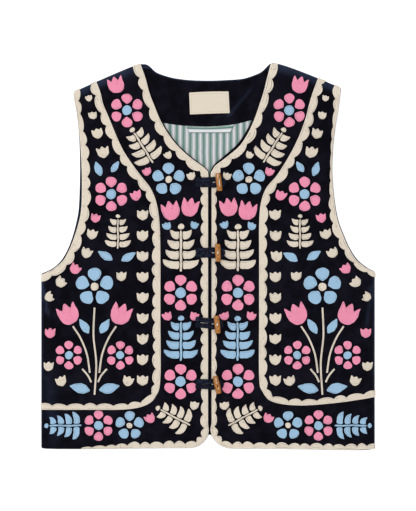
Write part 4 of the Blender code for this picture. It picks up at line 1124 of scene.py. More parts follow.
def band_paths(side):
    """The runs that each scalloped band follows: its parts and the hand it lies on."""
    edge = FRONT_EDGE[side]
    neck = neck_run(side)
    ahead = neck[0] - neck[1]
    start = neck[0] + ahead / np.linalg.norm(ahead) * BAND_OVERRUN
    corner = hem_corner(side)
    hem = smooth([corner[-1], *side_points(FRONT_HEM, side)], EDGE_STEP)
    if side == LEFT:
        hem = np.vstack((corner, hem[1:][hem[1:, 0] < HEM_BAND_END]))
    else:
        hem = np.vstack((corner, hem[1:], (SIDE_REACH + BAND_OVERRUN, hem[-1, 1])))
    front = smooth([neck[-1], (edge["x"], corner[0, 1])], EDGE_STEP)
    armhole = side_points(FRONT_ARMHOLE, side)
    foot = np.array((SIDE_REACH, ARMHOLE_END[side])) + ARMHOLE_FOOT_OVERRUN
    around = smooth(armhole, EDGE_STEP)[::-1]
    around = np.vstack((armhole[-1] + ARMHOLE_TIP_OVERRUN, around, foot))
    inner = smooth(side_points(INNER_BAND, side), EDGE_STEP)
    return (
        (((np.vstack((start, neck)), "neck_" + side), (front, "front_" + side), (hem, "hem_" + side)), -1.0),
        (((around, "armhole_" + side),), 1.0),
        (((inner, "inner"),), -1.0),
    )


def scallop_phase(place, count):
    """The phase of uneven scallops at places in a band of so many.

    A phase p falls at the place p + shift sin(turn p), nothing at both ends.
    """
    phase = np.linspace(0.0, count, 40 * count + 1)
    ramp = np.minimum(1.0, np.minimum(phase, count - phase))
    return np.interp(place, phase + SCALLOP_SHIFT * np.sin(SHIFT_TURN * phase) * ramp, phase)


def band_facts(size, path):
    """Gap, width and share of the notches along a band's path."""
    marks, gaps, widths = zip(*size["rows"])
    place = path[:, size["axis"]]
    return np.stack((np.interp(place, marks, gaps), np.interp(place, marks, widths),
                     np.full(len(place), size["notch"])))


def band(parts, hand, step):
    """Plain and scalloped side of a band that follows parts of an edge in turn.

    The phase runs from one whole number to the next in each scallop, whose
    edge stands out by |sin(pi phase)|^SCALLOP_POWER.  Gap, width and notches blend from
    part to part.
    """
    lengths = np.array([measure(path)[-1] for path, _ in parts])
    sizes = [BANDS[name] for _, name in parts]
    ends = np.concatenate(([0.0], np.cumsum(lengths)))
    path = np.concatenate([run if k == 0 else run[1:] for k, (run, _) in enumerate(parts)])
    reach = np.linspace(0.0, ends[-1], round(ends[-1] / step) + 1)
    middle = along(path, reach)
    rise = np.zeros(len(reach))
    for size, start, length in zip(sizes, ends, lengths):
        here = (reach >= start) & (reach <= start + length)
        count = max(1, round(length / size["pitch"]))
        phase = scallop_phase((reach[here] - start) / length * count, count)
        number = np.minimum(np.floor(phase), count - 1)
        uneven = 1 + SCALLOP_RISE * np.sin(RISE_TURN * number + RISE_START)
        rise[here] = np.abs(np.sin(math.pi * phase)) ** SCALLOP_POWER * uneven

    facts = band_facts(sizes[0], middle)
    for size, end in zip(sizes[1:], ends[1:-1]):
        passed = smoothstep((reach - end) / BAND_BLEND + 0.5)
        facts = facts + (band_facts(size, middle) - facts) * passed
    gap, width, notch = facts

    window = np.array((1.0, 2.0, 3.0, 2.0, 1.0)) / 9.0
    padded = np.pad(middle, ((2, 2), (0, 0)), mode="reflect", reflect_type="odd")
    even = np.stack([np.convolve(column, window, mode="valid") for column in padded.T], axis=-1)
    right = hand * rightwards(even)
    plain = middle + right * np.reshape(gap, (-1, 1))
    wavy = middle + right * (gap + width * (1 - notch + notch * rise))[:, None]
    return plain, wavy


def band_caps(side, pitch, stitch):
    """The caps of a front's three bands, ended where the cloth ends."""
    caps = []
    for parts, hand in band_paths(side):
        plain, wavy = band(parts, hand, SAMPLE_STEP)
        limit = CURL_LENGTH - BAND_MARGIN
        reach = [np.minimum(fold.past(plain), fold.past(wavy)) for fold in FOLDS[side]]
        on_cloth = np.flatnonzero(np.maximum(*reach) < limit)
        first, last = max(on_cloth[0] - 1, 0), min(on_cloth[-1] + 2, len(plain))
        for fold in FOLDS[side]:
            plain, wavy = fold.held(plain, limit), fold.held(wavy, limit)
        loop, spine = strip(plain[first:last], wavy[first:last], 0.004, 0.996)
        caps.append(cap(loop, spine, row_count(loop, spine, pitch), side, stitch))
    return caps


# Loops and toggles


def loop_path(closure, step):
    """Middle line of a loop's cord, out along one strand and back along the other."""
    y, half = closure["y"], CORD_SPACING / 2
    turn_x = closure["loop_end"] - half - CORD_WIDTH / 2
    spread, drop = closure["spread"], closure["drop"]
    x = np.linspace(LOOP_START, turn_x, 60)
    upper = np.stack((x, y + half + spread * (turn_x - x) / (turn_x - LOOP_START) * 0.5), axis=-1)
    bight = arc((turn_x, y), half, 90.0, -90.0, 40)[1:-1]
    lower = np.stack((upper[::-1, 0], 2 * y - upper[::-1, 1]), axis=-1)
    path = np.concatenate((upper, bight, lower))
    parting, reach, place = LOOP_PARTING
    parted = parting * np.exp(-((path[:, 0] - closure["toggle_x"] - place) / reach) ** 2)
    path[:, 1] += np.sign(path[:, 1] - y) * parted
    path[:, 1] -= drop * (path[:, 0] - LOOP_START) / (closure["loop_end"] - LOOP_START)
    return at_shares(path, np.linspace(0.0, 1.0, round(measure(path)[-1] / step) + 1))


def surface_height(spots):
    """Top of the raised stitching of the front that lies at each spot."""
    heights = []
    for side in (LEFT, RIGHT):
        flat = spots * (SIGN[side], 1.0)
        heights.append(place_front(flat, HALF_WALL + STITCH_RIDGE, side)[..., 2])
    return np.where(spots[..., 0] < 0, heights[0], heights[1])


def make_loop(closure, wrap):
    """A doubled cord loop, wrapped crosswise with thread.

    P(s, a) = path(s) + width cos(a) n(s) + thickness (1 + sin(a)) z, each times
    1 + 0.05 |sin(pi s / wrap)| for the wraps, and drawn in at both ends.
    """
    path = loop_path(closure, wrap / 4)
    reach = measure(path)
    angle = np.linspace(0.0, 2 * math.pi, CORD_AROUND, endpoint=False)
    normal = -rightwards(path)
    end_gap = np.minimum(reach, reach[-1] - reach)
    ending = np.sqrt(np.clip(1 - (1 - np.minimum(end_gap / 1.6, 1.0)) ** 2, 0.0, 1.0))
    slant = 0.35 * np.cos(angle)[None, :] + 0.12 * np.sin(reach / 2.3)[:, None]
    wraps = np.abs(np.sin(math.pi * (reach[:, None] / wrap + slant)))
    uneven = 0.02 * np.sin(reach / 3.1 + 1.3)[:, None] + 0.015 * np.sin(reach / 1.7)[:, None]
    girth = (0.94 + 0.07 * wraps + uneven) * ending[:, None]
    across = CORD_WIDTH / 2 * np.cos(angle)[None, :] * girth
    up = CORD_THICK / 2 * (1 + np.sin(angle)[None, :] * girth)
    floor = surface_height(path) + TOUCH
    spots = path[:, None] + normal[:, None] * across[..., None]
    points = np.concatenate((spots, (floor[:, None] + up)[..., None]), axis=-1)
    return rolled(points, reach)


def rolled(points, reach):
    """Faces and UV of a closed tube whose first and last rings are poles."""
    rings, around = points.shape[:2]
    faces, places = patch(rings, around + 1)
    faces = places[..., 0] * around + places[..., 1] % around
    uv = np.stack((reach[places[..., 0]], places[..., 1] / around), axis=-1)
    return points.reshape(-1, 3), faces, uv


def toggle_frame(closure):
    """A toggle's middle, and its directions across, along and up."""
    share = (closure["toggle_x"] - LOOP_START) / (closure["loop_end"] - LOOP_START)
    x, y = closure["toggle_x"], closure["y"]
    seat = surface_height(np.array(((x, y),)))[0] + 2 * TOUCH + CORD_THICK
    middle = np.array((x, y - closure["drop"] * share, seat + TOGGLE_THICK / 2))
    tilt = math.radians(closure["tilt"])
    across = np.array((math.cos(tilt), math.sin(tilt), 0.0))
    lengthwise = np.array((-math.sin(tilt), math.cos(tilt), 0.0))
    return middle, across, lengthwise, np.array((0.0, 0.0, 1.0))


def make_toggle(closure, number):
    """A whittled wooden bar with two sunken thread holes.

    P(s, a) = girth(s) (width cos(a), length (s - 1/2), thickness sin(a)), with
    facets cut by 0.022 cos(7a) and 0.012 cos(5a) and a pit at each thread hole.
    """
    profile = np.array(TOGGLE_PROFILE)
    s = np.linspace(0.0, 1.0, TOGGLE_RINGS)
    girth = np.interp(s, profile[:, 0], profile[:, 1])
    girth = np.convolve(np.pad(girth, 2, mode="edge"), np.ones(5) / 5, mode="valid")
    ending = np.array((0.0, 0.35, 0.7, 0.92))
    s = np.concatenate((np.zeros(4), s, np.ones(4)))
    girth = np.concatenate((ending * girth[0], girth, ending[::-1] * girth[-1]))
    angle = np.linspace(0.0, 2 * math.pi, TOGGLE_AROUND, endpoint=False)
    facets = 1 - 0.022 * np.cos(7 * angle + number * 1.7)[None, :]
    facets = facets - 0.012 * np.cos(5 * angle + 9 * s[:, None] + number)
    radius = girth[:, None] * facets
    across = TOGGLE_WIDTH / 2 * radius * np.cos(angle)
    lengthwise = TOGGLE_LENGTH * (s[:, None] - 0.5) * np.ones_like(across)
    up = TOGGLE_THICK / 2 * radius * np.sin(angle)
    for sign in (-1.0, 1.0):
        distance = np.hypot(across, lengthwise - sign * THREAD_SPACING / 2)
        up -= np.where(np.sin(angle) > 0, PIT_DEPTH * np.exp(-(distance / (THREAD_HOLE / 2)) ** 4), 0.0)
    middle, *axes = toggle_frame(closure)
    points = middle + sum(part[..., None] * axis for part, axis in zip((across, lengthwise, up), axes))
    return rolled(points, s * TOGGLE_LENGTH)


# Sewing threads of each toggle: offset across and both ends along the bar
TOGGLE_THREADS = (
    ((-0.9, 12.0, 6.2), (-0.5, 11.6, 5.8), (0.3, 4.8, -5.6), (0.7, 4.2, -6.2)),
    ((0.35, 2.6, -2.6), (-0.35, 2.4, -2.4)),
    ((0.5, 2.7, -2.5), (-0.4, 2.5, -2.7), (0.1, 2.4, -2.3)),
    ((0.1, 10.4, 6.6), (0.5, 10.0, 6.2), (0.2, 4.6, 1.6), (0.6, 4.2, 2.0), (0.9, -4.0, -7.0)),
)


def make_thread(closure, offset, start, end):
    """One strand of sewing thread that lies lengthwise on a toggle and dips at its ends."""
    s = np.linspace(0.0, 1.0, THREAD_RINGS)
    lengthwise = start + (end - start) * s
    rise = TOGGLE_THICK / 2 * np.sqrt(1 - (2 * offset / TOGGLE_WIDTH) ** 2)
    dip = 1.1 * (np.exp(-(s / 0.08) ** 2) + np.exp(-((1 - s) / 0.08) ** 2))
    centre = np.stack((offset + 0.12 * np.sin(6 * s), lengthwise, rise + 0.08 - dip), axis=-1)
    angle = np.linspace(0.0, 2 * math.pi, THREAD_AROUND, endpoint=False)
    ending = np.sqrt(np.clip(1 - (2 * s - 1) ** 14, 0.0, 1.0))
    ply = 1 + 0.12 * np.sin(angle[None, :] * 3 + 26 * s[:, None])
    radius = THREAD_GIRTH * ending[:, None] * ply
    around = (radius * np.cos(angle), np.zeros_like(radius), radius * np.sin(angle))
    local = centre[:, None] + np.stack(around, axis=-1)
    middle, *axes = toggle_frame(closure)
    points = middle + sum(local[..., k, None] * axis for k, axis in enumerate(axes))
    return rolled(points, s * abs(end - start))


# Finishes


class Socket:
    """An output of a shader node that takes part in Python expressions."""

    def __init__(self, finish, link):
        self.finish = finish
        self.link = link

    def math(self, operation, *values):
        """The result of a sum on numbers and outputs."""
        return self.finish.node("ShaderNodeMath", {"operation": operation}, values)

    def __add__(self, other):
        return self.math("ADD", self, other)

    def __sub__(self, other):
        return self.math("SUBTRACT", self, other)

    def __rsub__(self, other):
        return self.math("SUBTRACT", other, self)

    def __mul__(self, other):
        return self.math("MULTIPLY", self, other)

    def __truediv__(self, other):
        return self.math("DIVIDE", self, other)

    __radd__ = __add__
    __rmul__ = __mul__

    def fraction(self):
        """The part past the whole number."""
        return self.math("FRACT", self)

    def size(self):
        """The number without its sign."""
        return self.math("ABSOLUTE", self)

    def sine(self):
        """The sine of the number."""
        return self.math("SINE", self)

    def least(self, other):
        """The smaller of two numbers."""
        return self.math("MINIMUM", self, other)

    def most(self, other):
        """The larger of two numbers."""
        return self.math("MAXIMUM", self, other)

    def step(self, low, high):
        """0 below low, 1 above high and a smooth rise between, or a fall if low is higher."""
        return self.finish.node("ShaderNodeMapRange", {"interpolation_type": "SMOOTHSTEP"},
                                {"Value": self, "From Min": low, "From Max": high})


class Finish:
    """A material built from nodes round one Principled shader."""

    def __init__(self, name, **constants):
        self.material = bpy.data.materials.new(name)
        self.material.use_nodes = True
        self.tree = self.material.node_tree
        self.shader = self.tree.nodes["Principled BSDF"]
        self.set(**constants)

    def node(self, kind, settings=None, inputs=(), output=0):
        """A node of a kind, with its settings and then its inputs by place or name."""
        made = self.tree.nodes.new(kind)
        for key, value in (settings or {}).items():
            if key == "stops":
                self.set_stops(made.color_ramp, value)
            else:
                setattr(made, key, value)
        self.fill(made, inputs)
        return Socket(self, made.outputs[output])

    @staticmethod
    def set_stops(ramp, stops):
        """Places and colours of a ramp's stops."""
        while len(ramp.elements) < len(stops):
            ramp.elements.new(1.0)
        for element, (place, colour) in zip(ramp.elements, stops):
            element.position = place
            element.color = (*colour, 1.0)

    def fill(self, made, inputs):
        """Values or links of a node's inputs."""
        pairs = inputs.items() if isinstance(inputs, dict) else enumerate(inputs)
        for key, value in pairs:
            if isinstance(value, Socket):
                self.tree.links.new(value.link, made.inputs[key])
            else:
                made.inputs[key].default_value = value

    def set(self, **inputs):
        """Inputs of the shader, an underscore for each space in a name."""
        self.fill(self.shader, {key.replace("_", " "): value for key, value in inputs.items()})

    def place(self):
        """Where a point is on the object."""
        return self.node("ShaderNodeTexCoord", output="Object")

    def rows(self):
        """The piece's own coordinates along and across its rows."""
        where = self.node("ShaderNodeTexCoord", output="UV")
        return self.parts(where)[:2]

    def parts(self, vector):
        """The three numbers of a vector."""
        split = self.tree.nodes.new("ShaderNodeSeparateXYZ")
        self.fill(split, (vector,))
        return [Socket(self, output) for output in split.outputs]

    def vector(self, x, y, z=0.0):
        """A vector of three numbers."""
        return self.node("ShaderNodeCombineXYZ", inputs=(x, y, z))

    def noise(self, where, scale, detail=2.0, roughness=0.5, distortion=0.0):
        """Soft noise between 0 and 1, about one blot in each 1/scale."""
        return self.node("ShaderNodeTexNoise", inputs={
            "Vector": where, "Scale": scale, "Detail": detail, "Roughness": roughness,
            "Distortion": distortion})

    def mix(self, share, first, second):
        """One colour passing into another."""
        made = self.tree.nodes.new("ShaderNodeMix")
        made.data_type = "RGBA"
        self.fill(made, {0: share, 6: first, 7: second})
        return Socket(self, made.outputs[2])

    def shaded(self, colour, factor):
        """A colour made darker or lighter by a number."""
        start = colour if isinstance(colour, Socket) else colour[:3]
        return self.node("ShaderNodeVectorMath", {"operation": "SCALE"}, {0: start, "Scale": factor})

    def bump(self, height, strength, distance):
        """The surface raised by a height."""
        self.set(Normal=self.node("ShaderNodeBump", inputs={
            "Strength": strength, "Distance": distance, "Height": height}))


# Turn of the lining's plain weave in each metre, in radians
WEAVE_TURN = 2600.0
# The label's width and length between its edges, in millimetres
LABEL_REACH = (60.0, 33.0)


def tone(red, green, blue):
    """A colour of a picture, 0 to 255, as the linear colour of a surface."""
    share = np.array((red, green, blue)) / 255.0
    linear = np.where(share <= 0.04045, share / 12.92, ((share + 0.055) / 1.055) ** 2.4)
    return (*(float(value) for value in linear), 1.0)


def solid(colour):
    """A setting's colour, opaque."""
    return (*colour, 1.0)


def shade(colour, factor):
    """A colour times a number."""
    return solid([value * factor for value in colour[:3]])


def velvet_finish(name, settings, both_sides_curl=False):
    """Velvet: crushed pile in soft blots, with a painted bluish sheen highlight in streaks and where it
    curls.

    The cloth curls at its top and at one side or both.
    """
    colour = solid(settings.velvet_colour)
    finish = Finish(name, Sheen_Weight=settings.velvet_sheen, Sheen_Roughness=0.24,
                    Sheen_Tint=solid(settings.sheen_colour), Specular_IOR_Level=0.03)
    u, v = finish.rows()
    where = finish.place()
    pile = finish.noise(where, 2400.0, 3.0, 0.6)
    crush = finish.noise(where, 70.0, 3.0, 0.55)
    drift = finish.noise(where, 14.0, 2.0)
    wear = (crush * 0.6 + drift * 0.4).step(0.38, 0.66)
    shaded = finish.mix(wear, shade(colour, 0.5), shade(colour, 1.25))
    # Painted highlight: the lit pile colour is mixed into the base colour where the cloth curls over its
    # folds and along the marked streaks, standing in for the velvet's sheen
    side = (u - 0.5).size() + 0.5 if both_sides_curl else u
    curled = v.step(0.972, 0.998).most(side.step(0.972, 1.0) * 0.8)
    streaks = finish.node("ShaderNodeAttribute", {"attribute_name": "streaks"}, output="Fac")
    painted_sheen = (curled * 0.7 + streaks) * (crush * 1.1 + 0.35)
    shaded = finish.mix(painted_sheen.least(0.85), shaded, solid(settings.lit_colour))
    finish.set(Base_Color=finish.shaded(shaded, pile * 0.9 + 0.5), Roughness=pile * 0.2 + 0.78)
    finish.bump(pile * 0.7 + crush * 0.6, 0.45, 0.0005)
    return finish.material


def stitch_finish(name, colour, gap_and_shade_colour):
    """Chain stitch: V-shaped links along each row, their grooves, valleys and middle crease darkened as
    painted shade mixed with the velvet seen between stitches, a dark line inside the rim, dark specks, and a
    painted highlight on the rim row.
    """
    finish = Finish(name, Sheen_Weight=0.12, Sheen_Roughness=0.5, Specular_IOR_Level=0.2)
    u, v = finish.rows()
    where = finish.place()
    grain = finish.noise(where, 1900.0, 3.0, 0.65)
    patchy = finish.noise(where, 420.0, 2.0)
    off_middle = (v.fraction() - 0.5).size()
    link = (u + off_middle * 1.1).fraction()
    # Painted shade, mixed with the dark velvet seen between stitches: the grooves between links, the valleys
    # between rows and the crease down each row darken towards the gap colour
    groove = (link - 0.5).size().step(0.36, 0.5)
    valley = off_middle.step(0.3, 0.5)
    crease = off_middle.step(0.1, 0.02) * 0.35
    # Painted highlight: the outermost row is lightened a little and shows fewer dark flecks
    rim = v.step(0.95, 0.6)
    hollow = (groove * 0.55 + valley * 0.8 + crease) * (patchy * 1.5 + 0.15)
    fleck = (hollow * (1.0 - rim * 0.7)).step(0.42, 1.05) * 0.72
    contour = (v - 1.0).size().step(0.26, 0.1) * finish.noise(where, 60.0, 2.0).step(0.48, 0.58) * 0.8
    speck = finish.noise(where, 330.0, 1.0).step(0.7, 0.76) * 0.7
    light = grain * 0.4 + patchy * 0.2 + 0.7 + rim * 0.06
    thread = finish.shaded(colour, light)
    dark = fleck.most(contour).most(speck)
    finish.set(Base_Color=finish.mix(dark, thread, gap_and_shade_colour), Roughness=0.82)
    finish.bump((1.0 - groove) * 0.7 + (1.0 - valley) * 0.6 + grain * 0.45, 0.6, 0.0004)
    return finish.material


def lining_finish(settings):
    """Striped cotton: soft green stripes on white with grey between, in a plain weave."""
    finish = Finish("striped lining", Specular_IOR_Level=0.25)
    x, y, _ = finish.parts(finish.place())
    pitch = settings.stripe_pitch
    wander = finish.noise(finish.vector(x * 0.4, y), 60.0, 2.0)
    phase = ((x - settings.stripe_start + (wander - 0.5) * 0.0016) / pitch + 0.5).fraction()
    off = (phase - 0.5).size() * (pitch / MM)
    green = off.step(2.2, 1.0)
    white = off.step(3.2, 4.3)
    base = finish.mix(white, tone(160, 167, 168), tone(206, 207, 209))
    striped = finish.mix(green, base, tone(96, 130, 120))
    weave = (y * WEAVE_TURN).sine() * (x * WEAVE_TURN).sine()
    fibre = finish.noise(finish.vector(x, y * 0.12), 1500.0, 2.0)
    finish.set(Base_Color=finish.shaded(striped, fibre * 0.3 + weave * 0.04 + 0.86), Roughness=0.8)
    finish.bump(weave * 0.5 + fibre * 0.5, 0.3, 0.0002)
    return finish.material


def hanger_finish():
    """The lining's cloth cut across: stripes along the strip, its folds at both long edges."""
    finish = Finish("hanger strip", Specular_IOR_Level=0.25)
    _, v = finish.rows()
    where = finish.place()
    x, y, _ = finish.parts(where)
    fibre = finish.noise(finish.vector(x * 0.15, y), 1500.0, 2.0)
    wander = finish.noise(where, 60.0, 2.0)
    line = v + (wander - 0.5) * 0.05
    ramp = finish.node("ShaderNodeValToRGB", {"stops": (
        (0.0, tone(120, 142, 140)[:3]), (0.1, tone(214, 216, 216)[:3]), (0.27, tone(226, 227, 226)[:3]),
        (0.36, tone(196, 198, 199)[:3]), (0.45, tone(216, 217, 218)[:3]), (0.58, tone(78, 102, 112)[:3]),
        (0.66, tone(86, 128, 112)[:3]), (0.8, tone(112, 146, 134)[:3]), (0.9, tone(190, 200, 194)[:3]),
    )}, (line,))
    finish.set(Base_Color=finish.shaded(ramp, fibre * 0.26 + 0.87), Roughness=0.8)
    finish.bump(fibre, 0.3, 0.0002)
    return finish.material


def label_finish(settings):
    """Bare woven tape: a fine weave, a faint line inside its edge and a brighter rim."""
    finish = Finish("label", Specular_IOR_Level=0.25)
    u, v = finish.rows()
    where = finish.place()
    edge_u = (0.5 - (u - 0.5).size()) * LABEL_REACH[0]
    edge_v = (0.5 - (v - 0.5).size()) * LABEL_REACH[1]
    edge = edge_u.least(edge_v)
    line = (edge - 2.7).size().step(0.5, 0.15)
    rim = edge.step(1.1, 0.5)
    x, y, _ = finish.parts(where)
    weft = finish.noise(finish.vector(x * 0.12, y), 2200.0, 2.0)
    warp = finish.noise(finish.vector(x, y * 0.12), 2200.0, 2.0)
    cloth = weft * 0.16 + warp * 0.16 + 0.85
    base = finish.mix(rim, solid(settings.label_colour), shade(settings.label_colour, 1.07))
    finish.set(Base_Color=finish.shaded(base, cloth - line * 0.13), Roughness=0.75)
    finish.bump(weft + warp - line * 0.6, 0.3, 0.0002)
    return finish.material


def cord_finish(settings):
    """Thread wound round a cord: crosswise wraps darkened in their grooves as painted shade, with bluish
    flecks of painted highlight.
    """
    finish = Finish("cord", Sheen_Weight=0.1, Sheen_Roughness=0.4, Sheen_Tint=tone(120, 150, 200),
                    Specular_IOR_Level=0.08)
    along_cord, _ = finish.rows()
    where = finish.place()
    fibre = finish.noise(where, 1700.0, 3.0, 0.6)
    wraps = ((along_cord / (settings.wrap_pitch / MM)).fraction() - 0.5).size()
    # Painted shade: the colour darkens in the grooves between wraps
    groove = wraps.step(0.34, 0.5)
    # Painted highlight: bluish flecks of sheen laid into the cord's colour in soft blots
    glinting = finish.noise(where, 330.0, 3.0, 0.6).step(0.46, 0.68)
    base = finish.mix(glinting, solid(settings.cord_colour), solid(settings.cord_glint))
    finish.set(Base_Color=finish.shaded(base, (fibre * 0.9 + 0.5) * (1.0 - groove * 0.6)), Roughness=0.8)
    finish.bump(fibre * 0.6 + (1.0 - groove) * 0.5, 0.5, 0.0004)
    return finish.material


def wood_finish(settings):
    """Whittled wood: streaks along the bar, dark pores, a soft polish, and its sides and underside darkened
    as painted shade.
    """
    finish = Finish("toggle wood", Specular_IOR_Level=0.25, Coat_Roughness=0.35)
    lengthwise, turn = finish.rows()
    grain = finish.noise(finish.vector(lengthwise * 0.09, turn * 7.0), 2.2, 5.0, 0.62, 0.5)
    pores = finish.noise(finish.vector(lengthwise * 0.5, turn * 60.0), 1.4)
    base = finish.mix(grain.step(0.34, 0.54), solid(settings.wood_dark), solid(settings.wood_light))
    base = finish.mix(grain.step(0.54, 0.7) * 0.8, base, solid(settings.wood_streak))
    porous = pores.step(0.6, 0.74)
    # Painted shade: the bar darkens by up to a half away from its top
    shaded_flank = (turn - 0.25).size().step(0.1, 0.24)
    finish.set(Base_Color=finish.shaded(base, (1.0 - porous * 0.35) * (1.0 - shaded_flank * 0.5)),
               Roughness=grain * 0.25 + 0.34, Coat_Weight=0.15)
    finish.bump(grain * 0.6 - porous * 0.4, 0.35, 0.0003)
    return finish.material


def thread_finish(settings):
    """Pale sewing thread."""
    finish = Finish("sewing thread", Specular_IOR_Level=0.3)
    fibre = finish.noise(finish.place(), 2600.0, 2.0)
    finish.set(Base_Color=finish.shaded(solid(settings.cream), fibre * 0.5 + 0.62), Roughness=0.8)
    finish.bump(fibre, 0.4, 0.0002)
    return finish.material


def stage_finish(settings):
    """The pale floor."""
    finish = Finish("pale floor", Specular_IOR_Level=0.1, Emission_Color=(1.0, 1.0, 1.0, 1.0),
                    Emission_Strength=FLOOR_GLOW)
    tint = finish.noise(finish.place(), 3.0, 1.0)
    finish.set(Base_Color=finish.shaded(solid(settings.floor_colour), tint * 0.01 + 0.995), Roughness=0.9)
    return finish.material


# Settings that a user would change


class VestClothSettings(PropertyGroup):
    """Sizes and colours of velvet, lining and label."""

    cell: FloatProperty(name="Cloth cell", description="Distance between points of the cloth's mesh",
                        default=0.0029, min=0.001, unit="LENGTH", precision=4)
    velvet_colour: FloatVectorProperty(name="Velvet", description="Colour of the velvet's pile",
                                       default=tone(17, 16, 25)[:3], subtype="COLOR")
    velvet_sheen: FloatProperty(name="Velvet sheen", description="Light that the pile returns at its edges",
                                default=0.14, min=0.0, max=1.0, subtype="FACTOR")
    sheen_colour: FloatVectorProperty(name="Sheen", description="Colour of the pile's sheen",
                                      default=tone(120, 150, 205)[:3], subtype="COLOR")
    # Colour of the painted highlight mixed into the pile where it curls and in streaks
    lit_colour: FloatVectorProperty(name="Lit pile", description="Colour of the pile where it catches light",
                                    default=tone(46, 56, 78)[:3], subtype="COLOR")
    stripe_pitch: FloatProperty(name="Stripe pitch", description="Distance between green stripes",
                                default=0.0101, unit="LENGTH", precision=4)
    stripe_start: FloatProperty(name="Stripe start", description="Where the middle of one green stripe lies",
                                default=-0.0266, unit="LENGTH", precision=4)
    label_colour: FloatVectorProperty(name="Label", description="Colour of the woven label",
                                      default=tone(214, 203, 185)[:3], subtype="COLOR")


class VestStitchSettings(PropertyGroup):
    """Sizes and colours of the embroidery."""

    row_pitch: FloatProperty(name="Row pitch", description="Distance between rows of chain stitch",
                             default=0.0019, unit="LENGTH", precision=4)
    stitch_length: FloatProperty(name="Stitch length", description="Length of one link of the chain",
                                 default=0.003, unit="LENGTH", precision=4)
    cream: FloatVectorProperty(name="Cream", description="Cream thread", default=tone(225, 213, 196)[:3],
                               subtype="COLOR")
    pink: FloatVectorProperty(name="Pink", description="Pink thread", default=tone(240, 148, 178)[:3],
                              subtype="COLOR")
    blue: FloatVectorProperty(name="Blue", description="Light blue thread", default=tone(157, 193, 221)[:3],
                              subtype="COLOR")


class VestTrimSettings(PropertyGroup):
    """Sizes and colours of cord loops and toggles."""

    wrap_pitch: FloatProperty(name="Wrap pitch", description="Distance from wrap to wrap along a loop",
                              default=0.0011, unit="LENGTH", precision=4)
    cord_colour: FloatVectorProperty(name="Cord", description="Colour of the loops' thread",
                                     default=tone(14, 16, 27)[:3], subtype="COLOR")
    # Colour of the painted highlight flecks on the cord
    cord_glint: FloatVectorProperty(name="Cord flecks", description="Colour of the thread where it is worn",
                                    default=tone(40, 48, 72)[:3], subtype="COLOR")
    wood_light: FloatVectorProperty(name="Light wood", description="Light streaks of the toggles",
                                    default=tone(174, 114, 48)[:3], subtype="COLOR")
    wood_streak: FloatVectorProperty(name="Wood streaks", description="Palest streaks of the toggles",
                                     default=tone(200, 150, 92)[:3], subtype="COLOR")
    wood_dark: FloatVectorProperty(name="Dark wood", description="Dark streaks of the toggles",
                                   default=tone(112, 60, 18)[:3], subtype="COLOR")


class VestStageSettings(PropertyGroup):
    """Floor, lights and camera."""

    floor_colour: FloatVectorProperty(name="Floor", description="Colour of the floor",
                                      default=(0.88, 0.88, 0.88), subtype="COLOR")
    view_height: FloatProperty(name="Camera height", description="Height of the camera over the garment",
                               default=2.0, unit="LENGTH")
    frame_height: FloatProperty(name="Frame height", description="Height of what the camera sees",
                                default=0.7665, unit="LENGTH", precision=4)
    key_power: FloatProperty(name="Soft light", description="Power of the large light overhead",
                             default=26.0, unit="POWER")
    fill_strength: FloatProperty(name="Room light", description="Strength of the even light all round",
                                 default=0.75, min=0.0)


# Pieces


class VEST_OT_velvet(Operator):
    """Makes the velvet fronts, the back and the neck facing."""

    bl_idname = "vest.velvet"
    bl_label = "Velvet pieces"

    def execute(self, context):
        settings = context.scene.vest_cloth
        cell = settings.cell / MM
        finish = velvet_finish("velvet", settings)
        for side in (LEFT, RIGHT):
            piece = add_piece(f"velvet_front_{side}", make_front(side, cell), finish)
            mark_streaks(piece, LIT_STREAKS[side], SIGN[side])
            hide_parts(f"front_{side}")
        back_finish = velvet_finish("back velvet", settings, both_sides_curl=True)
        back = add_piece("velvet_back", make_back(cell * BACK_CELL), back_finish)
        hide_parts("back")
        wall = flat_wall(facing_edges(), cell * FACING_CELL, FACING_WALL, FACING_FLOOR, FACING_CREASES)
        facing = add_piece("velvet_neck_facing", wall, finish)
        mark_streaks(facing, LIT_STREAKS["facing"])
        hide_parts("neck_facing")
        return {"FINISHED"}


class VEST_OT_embroidery(Operator):
    """Makes the chain-stitched motifs and scalloped bands of both fronts."""

    bl_idname = "vest.embroidery"
    bl_label = "Embroidery"

    def execute(self, context):
        settings = context.scene.vest_stitch
        pitch, stitch = settings.row_pitch / MM, settings.stitch_length / MM
        # Dark colour of the stitches' gaps and grooves: the velvet seen between stitches mixed with painted
        # shade
        gap_and_shade_colour = tone(96, 90, 92)
        finishes = {}
        for shade_name in THREADS:
            colour = solid(getattr(settings, shade_name))
            dark = solid([0.35 * a + 0.25 * b for a, b in zip(gap_and_shade_colour[:3], colour[:3])])
            finishes[shade_name] = stitch_finish(f"{shade_name} chain stitch", colour, dark)
        for side in (LEFT, RIGHT):
            caps = motif_caps(side, pitch, stitch)
            caps["cream"] += band_caps(side, pitch, stitch)
            for shade_name, shapes in caps.items():
                add_piece(f"{shade_name}_embroidery_{side}", joined(shapes), finishes[shade_name])
        return {"FINISHED"}


